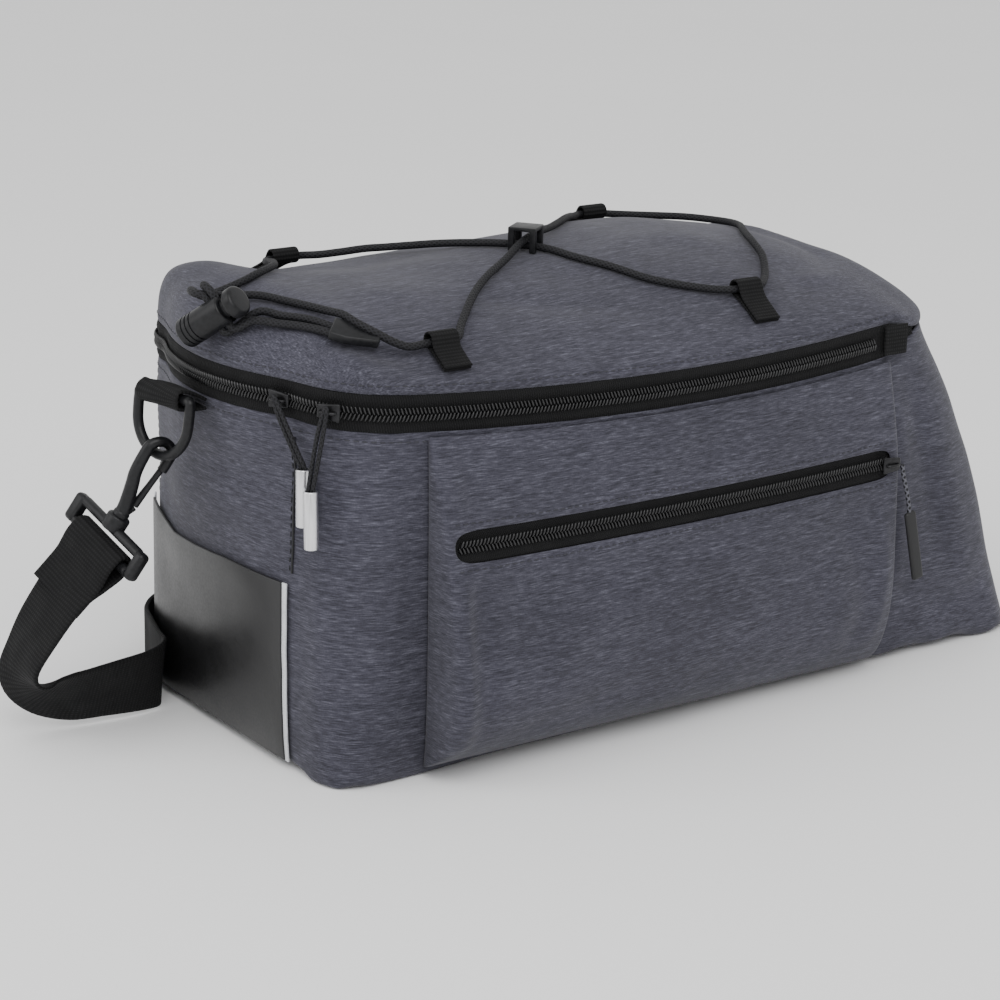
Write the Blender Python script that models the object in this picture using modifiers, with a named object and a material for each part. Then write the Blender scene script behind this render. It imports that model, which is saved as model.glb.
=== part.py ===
"""Bicycle rack bag: a soft box with a domed zip lid, two side pockets, a stretch cord and a strap.

Metres, +Z up. The origin is the centre of the flat base. -X is the end with the dark panel,
+X the slanted end, -Y the near side of the photograph and +Y the far side.
"""

import math

import bmesh
import bpy
from mathutils import Matrix, Vector
from mathutils.bvhtree import BVHTree

for old in list(bpy.data.objects):
    bpy.data.objects.remove(old)

# Overall sizes of the bag
BASE_LENGTH = 0.373
BASE_WIDTH = 0.170
ZIP_HEIGHT = 0.152
ZIP_SAG = 0.006
CROWN_RISE = 0.038
END_SLANT = 0.055
SIDE_SWELL = 0.010
END_SWELL = 0.012
CORNER_NEAR_BASE = 0.014
CORNER_FAR_BASE = 0.034
CORNER_RIM = 0.036
CLOTH = 0.0025
HEM = 0.004
GAP = 0.0003

# Main zip
TAPE_HEIGHT = 0.0135
TAPE_THICK = 0.0012
TAPE_INSET = 0.0006
TEETH_HEIGHT = 0.0055
TEETH_THICK = 0.0018
ZIP_END_X = 0.092
ZIP_FADE = 0.014
ZIP_FADE_X = 0.0975

# Side pockets
POCKET_LEFT_X = -0.147
POCKET_RIGHT_X = 0.091
POCKET_DEPTH = 0.024
POCKET_HEIGHT = 0.143
POCKET_TOP_CLEARANCE = 0.0015
POCKET_CLOTH = 0.0015
POCKET_LIFT = 0.0007
POCKET_ZIP_Z = 0.0985
POCKET_SLOT = 0.0120
POCKET_TAPE_LAP = 0.0020
POCKET_TAPE_THICK = 0.0010

# End panel and its reflective edges
PANEL_THICK = 0.0012
PANEL_LIFT = 0.0010
PANEL_BOTTOM = 0.0035
PANEL_NEAR_Y = -0.0490
PANEL_FAR_Y = 0.0640
STRIP_WIDTH = 0.0024
STRIP_THICK = 0.0008

# Zip pulls
SLIDER_LENGTH = 0.0095
SLIDER_HEIGHT = 0.0075
SLIDER_THICK = 0.0026
PULL_CORD = 0.0018
PULL_TUBE = 0.0057
PULL_TUBE_LENGTH = 0.0230
PULL_TUBE_BORE = 0.0046
TAG_LENGTH = 0.0320
TAG_WIDTH = 0.0060
TAG_THICK = 0.0026

# Stretch cord on the lid and what holds it
CORD = 0.0032
CORD_LIFT = 0.0006
LOOP_WIDTH = 0.0125
LOOP_THICK = 0.0010
LOOP_CLEARANCE = 0.0008
HOOK_CLEARANCE = 0.0013
LOOP_LIFT = 0.0030
CLIP_SIZE = 0.0120
CLIP_PLATE = 0.0016
CLIP_POST = 0.0026
CLIP_FOOT = 0.0006
LOCK_LENGTH = 0.0228
LOCK_WIDTH = 0.0124
LOCK_BORE = 0.0092
LOCK_BORE_FOOT = 0.0055
LOCK_SLOT = 0.0080
LOCK_SLOT_HEIGHT = 0.0042
LOCK_MIDDLE = 0.0187
LOCK_STRANDS = 0.0018
LOCK_LEAVE = 0.0082
BUTTON_WIDTH = 0.0084
BUTTON_FOOT = 0.0080
BUTTON_TRAVEL = 0.0018
BUTTON_TOP = 0.0302
WEDGE_THICK = 0.0040
WEDGE_HALF = 0.0052
WEDGE_LIFT = 0.0014
WEDGE_OUTLINE = ((0, -1), (0.35, -1), (1, -0.35), (1, 0.35), (0.35, 1), (0, 1))

# Strap hardware
RING_WIRE = 0.0043
RING_WIDTH = 0.0350
RING_HEIGHT = 0.0290
TAB_WIDTH = 0.0240
TAB_THICK = 0.0014
HOOK_ROD = 0.0042
GATE_ROD = 0.0026
HOOK_REACH = 0.0400
HOOK_HALF = 0.0052
HOOK_COLLAR = 0.0098
FRAME_ROD = 0.0044
FRAME_WIDTH = 0.0480
FRAME_HEIGHT = 0.0134
STRAP_WIDTH = 0.0320
STRAP_THICK = 0.0020
STRAP_HEIGHT = 0.0166
STRAP_CLEARANCE = 0.0052
STRAP_SEWN = ((0.0270, 0.0), (0.0190, 0.0), (0.0120, 0.12), (0.0045, 0.95))

# Places read off the photograph
CLIP_PLACE = (-0.0487, -0.0108)
CLIP_TURN = (0.60, -0.80)
LOCK_END = Vector((-0.2058, -0.0039, 0.1705))
LOCK_HEAD = Vector((-0.1943, -0.0256, 0.1870))
LOCK_THROUGH = Vector((-0.341, 0.4506, 0.825))
WEDGE_LEFT = (-0.1718, -0.0555)
WEDGE_RIGHT = (-0.1578, -0.0676)
LEFT_BAR = Vector((-0.2105, 0.0053, 0.1443))
LEFT_ACROSS = Vector((-0.20, 0.98, 0.0))
LEFT_HANG = Vector((-0.0020, 0.0012, -0.0247))
LEFT_HOOK_UP = Vector((0.46, -0.25, 0.852))
LEFT_HOOK_OUT = Vector((0.864, -0.10, -0.5035))
LEFT_HOOK_ACROSS = Vector((0.10, -0.936, -0.349))
LEFT_HOOK_OFFSET = 0.0010
RIGHT_ROOT = (-0.004, 0.128)
RIGHT_BAR_LIFT = 0.0105
ZIP_TAB_LEFT = 0.0862
ZIP_TAB_RIGHT = 0.0985
ZIP_TAB_LOW = 0.1425
ZIP_TAB_HIGH = 0.1570
ZIP_TAB_LEAN = -0.0020
ZIP_TAB_THICK = 0.0014
TEETH_END = 0.0065
POCKET_TEETH_START = 0.0040
POCKET_TEETH_END = 0.0070
POCKET_SLIDER_BACK = 0.0090
PULL_LIFT = 0.0032
PULL_SPREAD = 0.0011
LOOP_REST = 0.0010
LOOP_BULGE = 0.0005
PANEL_ROWS = 8
TAB_ROOT_ACROSS = Vector((0, 1, 0))
HOOK_TIP = 0.0345
GATE_FOOT = 0.0165
GATE_SIDE = 0.0030
GATE_GAP = 0.0004
GATE_LEAN = 0.0006

# Cord of a pocket slider: right of and below the slider's end
POCKET_PULL = ((0.0, 0.0), (0.0012, 0.0045), (0.0030, 0.0105), (0.0048, 0.0165), (0.0060, 0.0225))

# Shoulder strap at the dark end: middle of the strap and the turn of its width from straight up
STRAP_LEFT = (
    # x, y, z, turn in degrees towards -Y
    (-0.2490, 0.0215, 0.0650, 106),
    (-0.2600, 0.0250, 0.0480, 97),
    (-0.2655, 0.0275, 0.0345, 80),
    (-0.2625, 0.0285, 0.0250, 60),
    (-0.2530, 0.0282, 0.0192, 43),
    (-0.2400, 0.0272, 0.0167, 32),
    (-0.2250, 0.0268, 0.0168, 26),
    (-0.2100, 0.0282, 0.0166, 20),
    (-0.2000, 0.0330, 0.0166, 12),
    (-0.1960, 0.0430, 0.0166, 4),
)
# Along the far side: length, and distance beyond the bag's outside
STRAP_FAR = (
    (-0.1620, 0.0110),
    (-0.1540, 0.0240),
    (-0.1420, 0.0300),
    (-0.1200, 0.0295),
    (-0.0700, 0.0275),
    (-0.0200, 0.0250),
    (0.0300, 0.0215),
    (0.0700, 0.0180),
    (0.0920, 0.0155),
    (0.1020, 0.0090),
    (0.1250, 0.0045),
)

# Stretch cord from the lock round its loops and back: place on the lid and lift above it
CORD_ROUTE = (
    (-0.1860, 0.0030, 0.0012), (-0.1760, 0.0037, 0.0006), (-0.1680, 0.0062, 0.0006),
    (-0.1600, 0.0115, 0.0006), (-0.1520, 0.0200, 0.0006), (-0.1465, 0.0305, 0.0008),
    (-0.1430, 0.0410, 0.0014), (-0.1375, 0.0500, 0.0030), (-0.1300, 0.0500, 0.0030),
    (-0.1225, 0.0500, 0.0030), (-0.1160, 0.0440, 0.0016), (-0.1090, 0.0375, 0.0012),
    (-0.1010, 0.0320, 0.0010), (-0.0930, 0.0275, 0.0008), (-0.0838, 0.0225, 0.0006),
    (-0.0750, 0.0150, 0.0006), (-0.0655, 0.0072, 0.0006), (-0.0560, -0.0020, 0.0006),
    (-0.0487, -0.0108, 0.0006), (-0.0430, -0.0205, 0.0006), (-0.0386, -0.0320, 0.0006),
    (-0.0292, -0.0439, 0.0006), (-0.0178, -0.0563, 0.0006), (-0.0032, -0.0646, 0.0008),
    (0.0070, -0.0690, 0.0016), (0.0138, -0.0712, 0.0030), (0.0212, -0.0712, 0.0030),
    (0.0286, -0.0712, 0.0030), (0.0350, -0.0665, 0.0014), (0.0417, -0.0593, 0.0006),
    (0.0494, -0.0480, 0.0006), (0.0552, -0.0344, 0.0006), (0.0600, -0.0250, 0.0006),
    (0.0660, -0.0150, 0.0006), (0.0735, -0.0040, 0.0006), (0.0785, 0.0085, 0.0006),
    (0.0770, 0.0205, 0.0006), (0.0700, 0.0305, 0.0006), (0.0600, 0.0395, 0.0008),
    (0.0490, 0.0470, 0.0016), (0.0395, 0.0505, 0.0030), (0.0320, 0.0505, 0.0030),
    (0.0245, 0.0505, 0.0030), (0.0180, 0.0450, 0.0014), (0.0080, 0.0350, 0.0006),
    (-0.0020, 0.0250, 0.0006), (-0.0120, 0.0165, 0.0006), (-0.0220, 0.0085, 0.0010),
    (-0.0320, 0.0010, 0.0024), (-0.0410, -0.0055, 0.0040), (-0.0487, -0.0108, 0.0043),
    (-0.0570, -0.0165, 0.0036), (-0.0650, -0.0218, 0.0020), (-0.0730, -0.0268, 0.0006),
    (-0.0830, -0.0338, 0.0006), (-0.0930, -0.0412, 0.0006), (-0.1020, -0.0492, 0.0006),
    (-0.1100, -0.0570, 0.0006), (-0.1175, -0.0645, 0.0010), (-0.1243, -0.0722, 0.0030),
    (-0.1318, -0.0722, 0.0030), (-0.1393, -0.0722, 0.0030), (-0.1465, -0.0722, 0.0030),
    (-0.1525, -0.0703, 0.0046), (-0.1585, -0.0668, 0.0062), (-0.1632, -0.0612, 0.0066),
    (-0.1655, -0.0545, 0.0060), (-0.1668, -0.0465, 0.0024), (-0.1696, -0.0371, 0.0008),
    (-0.1737, -0.0252, 0.0008), (-0.1785, -0.0145, 0.0012), (-0.1850, -0.0070, 0.0020),
)
BLOB_ONE = ((-0.2040, -0.0075, 0.1872), (-0.2010, 0.0000, 0.1865), (-0.1940, 0.0030, 0.1828))
BLOB_TWO = ((-0.1925, -0.0035, 0.1845), (-0.1985, -0.0068, 0.1888), (-0.2010, -0.0105, 0.1905))
TAIL_ONE = ((-0.1709, -0.0533, 0.0006), (-0.1748, -0.0440, 0.0006), (-0.1800, -0.0335, 0.0010),
            (-0.1862, -0.0255, 0.0030))
TAIL_TWO = ((-0.1893, -0.0282, 0.0036), (-0.1835, -0.0360, 0.0014), (-0.1783, -0.0452, 0.0006),
            (-0.1741, -0.0543, 0.0006))

# Webbing loops of the cord: name, seam and cord
LOOPS = (
    ("near_left", (-0.1318, -0.0815), (-0.1318, -0.0722)),
    ("near_right", (0.0212, -0.0835), (0.0212, -0.0712)),
    ("far_left", (-0.1300, 0.0640), (-0.1300, 0.0500)),
    ("far_right", (0.0320, 0.0640), (0.0320, 0.0505)),
)

# Body sections: shares of the height, of the two swells, of the slant and of the corner growth
SECTIONS = (
    # height, side, end, slant, round
    (0.00, -0.20, -0.10, 0.00, 0.00),
    (0.03, 0.00, 0.00, 0.02, 0.10),
    (0.10, 0.22, 0.12, 0.07, 0.25),
    (0.26, 0.45, 0.30, 0.18, 0.45),
    (0.45, 0.60, 0.48, 0.33, 0.60),
    (0.62, 0.72, 0.64, 0.47, 0.74),
    (0.80, 0.85, 0.84, 0.67, 0.87),
    (1.00, 1.00, 1.00, 1.00, 1.00),
)

# Lid rings: share of the way from the rim to the ridge, and the share of the rise reached there
LID_RINGS = (
    # inset, side, dark end, slanted end
    (0.00, 0.00, 0.00, 0.00),
    (0.03, 0.07, 0.45, 0.08),
    (0.08, 0.18, 0.72, 0.20),
    (0.16, 0.33, 0.86, 0.34),
    (0.28, 0.52, 0.94, 0.52),
    (0.45, 0.73, 0.98, 0.72),
    (0.65, 0.90, 1.00, 0.89),
    (0.85, 0.98, 1.00, 0.97),
    (1.00, 1.00, 1.00, 1.00),
)
NEAR_BOXINESS = 0.35
RIDGE_LEFT = -0.150
RIDGE_RIGHT = 0.085
RIDGE = (
    # along the lid, rise
    (0.00, 0.98),
    (0.12, 0.91),
    (0.24, 0.93),
    (0.40, 0.97),
    (0.60, 1.05),
    (0.70, 1.04),
    (0.78, 0.93),
    (0.86, 0.76),
    (1.00, 0.40),
)

# Pocket sections: shares of the pocket's height, and of its depth at the dark end and the slanted end
POCKET_ROWS = (
    # height, dark end, slanted end
    (0.028, 0.06, 0.06),
    (0.045, 0.22, 0.14),
    (0.068, 0.46, 0.25),
    (0.105, 0.68, 0.34),
    (0.150, 0.86, 0.42),
    (0.230, 1.00, 0.50),
    (0.350, 1.00, 0.50),
    (0.455, 0.86, 0.45),
    (0.560, 0.72, 0.42),
    (0.647, 0.655, 0.40),
    (0.731, 0.57, 0.36),
    (0.800, 0.42, 0.28),
    (0.890, 0.26, 0.19),
    (0.960, 0.13, 0.11),
    (1.000, 0.085, 0.085),
)
POCKET_COLUMNS = (0.0, 0.014, 0.08, 0.18, 0.30, 0.44, 0.58, 0.70, 0.82, 0.92, 0.975, 1.0)

# Top edge of the end panel
PANEL_TOP = (
    # across, height
    (-0.0525, 0.0785),
    (-0.0150, 0.0800),
    (0.0370, 0.0765),
    (0.0550, 0.0800),
    (0.0720, 0.0850),
)

SIDE_STEPS = 11
CORNER_STEPS = 4
END_STEPS = 6


def interpolate(rows, key, column, value):
    """Straight-line reading of one column of a table at a value of its key column."""
    for low, high in zip(rows, rows[1:]):
        if value <= high[key]:
            span = high[key] - low[key]
            part = (value - low[key]) / span
            return low[column] + part * (high[column] - low[column])
    return rows[-1][column]


def smooth(part):
    part = min(1.0, max(0.0, part))
    return part * part * (3 - 2 * part)


def section(height):
    """Sizes of the bag's plan at a share of its height."""
    side, end, slant, round_off = (interpolate(SECTIONS, 0, k, height) for k in (1, 2, 3, 4))
    return {
        "left": -BASE_LENGTH / 2,
        "right": BASE_LENGTH / 2 - END_SLANT * slant,
        "half": BASE_WIDTH / 2 + min(0.0, side) * SIDE_SWELL,
        "side_swell": max(0.0, side) * SIDE_SWELL,
        "end_swell": end * END_SWELL,
        "near": CORNER_NEAR_BASE + (CORNER_RIM - CORNER_NEAR_BASE) * round_off,
        "far": CORNER_FAR_BASE + (CORNER_RIM - CORNER_FAR_BASE) * round_off,
    }


def swell(part):
    """A rounded bump that is nothing at 0 and 1 and full in the middle."""
    return math.sin(math.pi * part) ** 0.8 if 0 < part < 1 else 0.0


def plan_ring(height):
    """Plan points of the bag's outside at a share of its height, counter-clockwise from above."""
    size = section(height)
    left, right, half = size["left"], size["right"], size["half"]
    points = []
    corners = (
        (left, -half, size["near"], 180),
        (right, -half, size["near"], 270),
        (right, half, size["far"], 0),
        (left, half, size["far"], 90),
    )
    steps = (SIDE_STEPS, END_STEPS, SIDE_STEPS, END_STEPS)
    out = ((0, -1), (1, 0), (0, 1), (-1, 0))
    bulge = (size["side_swell"], 0.25 * size["end_swell"], size["side_swell"], size["end_swell"])
    arcs = []
    for x, y, radius, start in corners:
        cx = x + (radius if x == left else -radius)
        cy = y + (radius if y < 0 else -radius)
        arc = []
        for k in range(CORNER_STEPS + 1):
            angle = math.radians(start + 90 * k / CORNER_STEPS)
            arc.append((cx + radius * math.cos(angle), cy + radius * math.sin(angle)))
        arcs.append(arc)
    for k in range(4):
        points += arcs[k]
        here, there = arcs[k][-1], arcs[(k + 1) % 4][0]
        for n in range(1, steps[k]):
            part = n / steps[k]
            push = bulge[k] * swell(part)
            points.append((
                here[0] + part * (there[0] - here[0]) + out[k][0] * push,
                here[1] + part * (there[1] - here[1]) + out[k][1] * push,
            ))
    return points


def zip_line(x):
    """Height of the middle of the main zip, which hangs a little along the sides."""
    part = (x + BASE_LENGTH / 2) / (BASE_LENGTH - END_SLANT)
    return ZIP_HEIGHT - ZIP_SAG * swell(part)


def zip_opening(x):
    """Half the height that the zip takes between the body and the lid."""
    closed = smooth((x - ZIP_FADE_X) / ZIP_FADE)
    return (TAPE_HEIGHT / 2 + GAP) * (1 - closed) + GAP / 2 * closed


def new_object(name, mesh):
    thing = bpy.data.objects.new(name, mesh)
    PARTS.objects.link(thing)
    return thing


def mesh_of(name, points, faces):
    mesh = bpy.data.meshes.new(name)
    mesh.from_pydata([tuple(p) for p in points], [], faces)
    mesh.validate()
    return mesh


def ring_faces(rows, columns, closed=True):
    faces = []
    last = columns if closed else columns - 1
    for r in range(rows - 1):
        for c in range(last):
            d = (c + 1) % columns
            faces.append((r * columns + c, r * columns + d, (r + 1) * columns + d, (r + 1) * columns + c))
    return faces


def body_rows():
    """Rings of the body's outside from the base up to the zip, as 3-D points."""
    rim = plan_ring(1.0)
    tops = [zip_line(x) - zip_opening(x) for x, _ in rim]
    rows = []
    for row in SECTIONS:
        ring = plan_ring(row[0])
        rows.append([Vector((x, y, row[0] * (top - HEM))) for (x, y), top in zip(ring, tops)])
    rows.append([Vector((x, y, top)) for (x, y), top in zip(rim, tops)])
    return rows


def lid_rows():
    """Rings of the lid's outside from the zip up to the ridge, as 3-D points."""
    rim = plan_ring(1.0)
    rows = [[Vector((x, y, zip_line(x) + zip_opening(x))) for x, y in rim]]
    for inset, side, dark, slanted in LID_RINGS:
        row = []
        for x, y in rim:
            target = min(max(x, RIDGE_LEFT), RIDGE_RIGHT)
            low = zip_line(x) + zip_opening(x) + HEM
            share = side
            if x < RIDGE_LEFT:
                boxy = NEAR_BOXINESS + (1 - NEAR_BOXINESS) * smooth((y + BASE_WIDTH / 2) / BASE_WIDTH)
                share = side + (dark - side) * boxy * smooth((RIDGE_LEFT - x) / 0.03)
            if x > RIDGE_RIGHT:
                share = side + (slanted - side) * smooth((x - RIDGE_RIGHT) / 0.04)
            px = x + inset * (target - x)
            py = y * (1 - inset)
            row.append(Vector((px, py, low + (crown(target) - low) * share)))
        rows.append(row)
    return rows


def crown(x):
    along = (x + BASE_LENGTH / 2) / (BASE_LENGTH - END_SLANT)
    return ZIP_HEIGHT + CROWN_RISE * interpolate(RIDGE, 0, 1, along)


def solidify(thing, thick, offset):
    wall = thing.modifiers.new("wall", "SOLIDIFY")
    wall.thickness = thick
    wall.offset = offset
    wall.use_even_offset = True
    return wall


def make_body():
    rows = body_rows()
    columns = len(rows[0])
    points = [p for row in rows for p in row]
    faces = ring_faces(len(rows), columns)
    faces.append(tuple(reversed(range(columns))))
    thing = new_object("body_shell", mesh_of("body_shell", points, faces))
    solidify(thing, CLOTH, -1)
    return thing


def make_lid():
    rows = lid_rows()
    columns = len(rows[0])
    points = [p for row in rows for p in row]
    mesh = mesh_of("lid_shell", points, ring_faces(len(rows), columns))
    work = bmesh.new()
    work.from_mesh(mesh)
    bmesh.ops.remove_doubles(work, verts=work.verts, dist=1e-5)
    work.to_mesh(mesh)
    work.free()
    thing = new_object("lid_shell", mesh)
    solidify(thing, CLOTH, -1)
    return thing


def material(name, colour, roughness, metallic=0.0):
    made = bpy.data.materials.new(name)
    made.use_nodes = True
    shader = made.node_tree.nodes["Principled BSDF"]
    shader.inputs["Base Color"].default_value = (*colour, 1)
    shader.inputs["Roughness"].default_value = roughness
    shader.inputs["Metallic"].default_value = metallic
    made.diffuse_color = (*colour, 1)
    return made


def paint(thing, made):
    thing.data.materials.clear()
    thing.data.materials.append(made)
    return thing


def tree_of(rows, closed=True):
    points = [p for row in rows for p in row]
    return BVHTree.FromPolygons(points, ring_faces(len(rows), len(rows[0]), closed))


def side_skin(x, z, side):
    """The bag's outside at a length and a height: side is -1 on the near side and 1 on the far side."""
    for tree in (BODY_TREE, LID_TREE):
        hit = tree.ray_cast(Vector((x, side, z)), Vector((0, -side, 0)))
        if hit[0] is not None and hit[0].y * side > 0:
            return hit[0]
    rim = BODY_TREE.ray_cast(Vector((x, side, RIM_CHECK)), Vector((0, -side, 0)))
    return Vector((x, rim[0].y, z))


def end_skin(y, z, side):
    """The bag's outside at a width and a height: side is -1 at the dark end and 1 at the slanted end."""
    hit = BODY_TREE.ray_cast(Vector((side, y, z)), Vector((-side, 0, 0)))
    normal = hit[1] if hit[1].x * side > 0 else -hit[1]
    return hit[0], normal


def lid_top(x, y):
    return LID_TREE.ray_cast(Vector((x, y, 1)), Vector((0, 0, -1)))[0].z


def sheet(name, rows, thick, offset, made):
    """A thin solid sheet over a grid of points."""
    points = [p for row in rows for p in row]
    thing = new_object(name, mesh_of(name, points, ring_faces(len(rows), len(rows[0]), False)))
    solidify(thing, thick, offset)
    return paint(thing, made)


def outward(rows, thick, made, name, away):
    """A sheet whose outer skin is the grid, on the side that away points to."""
    a, b, c = rows[0][0], rows[0][1], rows[1][0]
    normal = (b - a).cross(c - a)
    if normal.dot(away) < 0:
        rows = [list(reversed(row)) for row in rows]
    return sheet(name, rows, thick, -1, made)


def rod(name, points, width, made, closed=False, sides=2, hidden=False):
    """A round rod along a list of points."""
    data = bpy.data.curves.new(name, "CURVE")
    data.dimensions = "3D"
    data.bevel_depth = width / 2
    data.bevel_resolution = sides
    data.use_fill_caps = True
    line = data.splines.new("POLY")
    line.points.add(len(points) - 1)
    for slot, point in zip(line.points, points):
        slot.co = (*point, 1)
    line.use_cyclic_u = closed
    guide = bpy.data.objects.new(name + "_guide", data)
    bpy.context.scene.collection.objects.link(guide)
    bpy.context.view_layer.update()
    mesh = bpy.data.meshes.new_from_object(guide.evaluated_get(bpy.context.evaluated_depsgraph_get()))
    bpy.data.objects.remove(guide)
    work = bmesh.new()
    work.from_mesh(mesh)
    bmesh.ops.remove_doubles(work, verts=work.verts, dist=1e-6)
    bmesh.ops.recalc_face_normals(work, faces=work.faces)
    work.to_mesh(mesh)
    work.free()
    mesh.name = name
    thing = bpy.data.objects.new(name, mesh)
    place(thing, hidden)
    return paint(thing, made)


def place(thing, hidden):
    if hidden:
        CUTTERS.objects.link(thing)
        thing.hide_render = True
        thing.display_type = "WIRE"
    else:
        PARTS.objects.link(thing)


def frame_of(origin, along, across):
    """Matrix whose Z axis runs along and whose X axis runs across."""
    z = along.normalized()
    x = (across - z * across.dot(z)).normalized()
    y = z.cross(x)
    turn = Matrix((x, y, z)).transposed().to_4x4()
    return Matrix.Translation(origin) @ turn


def cylinder(name, frame, low, high, width, made, hidden=False, sides=18):
    """A cylinder in a frame, from one height along its Z axis to another."""
    work = bmesh.new()
    bmesh.ops.create_cone(
        work, cap_ends=True, segments=sides, radius1=width / 2, radius2=width / 2, depth=high - low,
        matrix=frame @ Matrix.Translation((0, 0, (low + high) / 2)),
    )
    return from_work(name, work, made, hidden)


def block(name, frame, low, high, made, hidden=False):
    """A box in a frame, between two corners."""
    size = [b - a for a, b in zip(low, high)]
    middle = [(a + b) / 2 for a, b in zip(low, high)]
    work = bmesh.new()
    scale = Matrix.Diagonal((*size, 1))
    bmesh.ops.create_cube(work, size=1, matrix=frame @ Matrix.Translation(middle) @ scale)
    return from_work(name, work, made, hidden)


def from_work(name, work, made, hidden):
    bmesh.ops.recalc_face_normals(work, faces=work.faces)
    mesh = bpy.data.meshes.new(name)
    work.to_mesh(mesh)
    work.free()
    thing = bpy.data.objects.new(name, mesh)
    place(thing, hidden)
    return paint(thing, made)


def combine(thing, other, operation):
    step = thing.modifiers.new(operation.lower(), "BOOLEAN")
    step.operation = operation
    step.solver = "EXACT"
    step.object = other


def chamfer(thing, width, segments=1):
    edge = thing.modifiers.new("edge", "BEVEL")
    edge.width = width
    edge.segments = segments
    edge.limit_method = "ANGLE"
    edge.angle_limit = math.radians(40)


def zip_path(inset, end_x):
    """Plan points along the zip: far side, dark end and near side, moved in by an inset."""
    ring = [Vector((x, y, 0)) for x, y in plan_ring(1.0)]
    count = len(ring)
    moved = []
    for k, point in enumerate(ring):
        along = ring[(k + 1) % count] - ring[k - 1]
        inward = Vector((-along.y, along.x, 0)).normalized()
        moved.append(point + inward * inset)
    far = count - END_STEPS - CORNER_STEPS - SIDE_STEPS
    path = moved[far:] + moved[:CORNER_STEPS + 1 + SIDE_STEPS]
    kept = [p for p in path if p.x < end_x]
    first, last = path[path.index(kept[0]) - 1], path[path.index(kept[-1]) + 1]
    start = first.lerp(kept[0], (first.x - end_x) / (first.x - kept[0].x))
    stop = kept[-1].lerp(last, (end_x - kept[-1].x) / (last.x - kept[-1].x))
    return [start] + kept + [stop]


def make_zip():
    half = TAPE_HEIGHT / 2
    path = zip_path(TAPE_INSET, ZIP_END_X)
    rows = [[Vector((p.x, p.y, zip_line(p.x) + h)) for p in path] for h in (-half, 0.0, half)]
    sheet("main_zip_tape", rows, TAPE_THICK, -1, WEBBING)
    half = TEETH_HEIGHT / 2
    path = zip_path(TAPE_INSET - GAP - TEETH_THICK, ZIP_END_X - TEETH_END)
    rows = [[Vector((p.x, p.y, zip_line(p.x) + h)) for p in path] for h in (-half, half)]
    sheet("main_zip_teeth", rows, TEETH_THICK, -1, TEETH)


def pocket_point(x, z, depth, side):
    skin = side_skin(x, z, side)
    return Vector((x, skin.y + side * (POCKET_LIFT + depth), z))


def pocket_depth(z, share):
    height = z / POCKET_HEIGHT
    dark = interpolate(POCKET_ROWS, 0, 1, height)
    slanted = interpolate(POCKET_ROWS, 0, 2, height)
    return POCKET_DEPTH * (dark + (slanted - dark) * share)


def pocket_z(share, x):
    slot_top = (POCKET_ZIP_Z + POCKET_SLOT / 2) / POCKET_HEIGHT
    if share <= slot_top:
        return share * POCKET_HEIGHT
    top = zip_line(x) - zip_opening(x) - POCKET_TOP_CLEARANCE
    low = slot_top * POCKET_HEIGHT
    return low + (top - low) * (share - slot_top) / (1 - slot_top)


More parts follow.
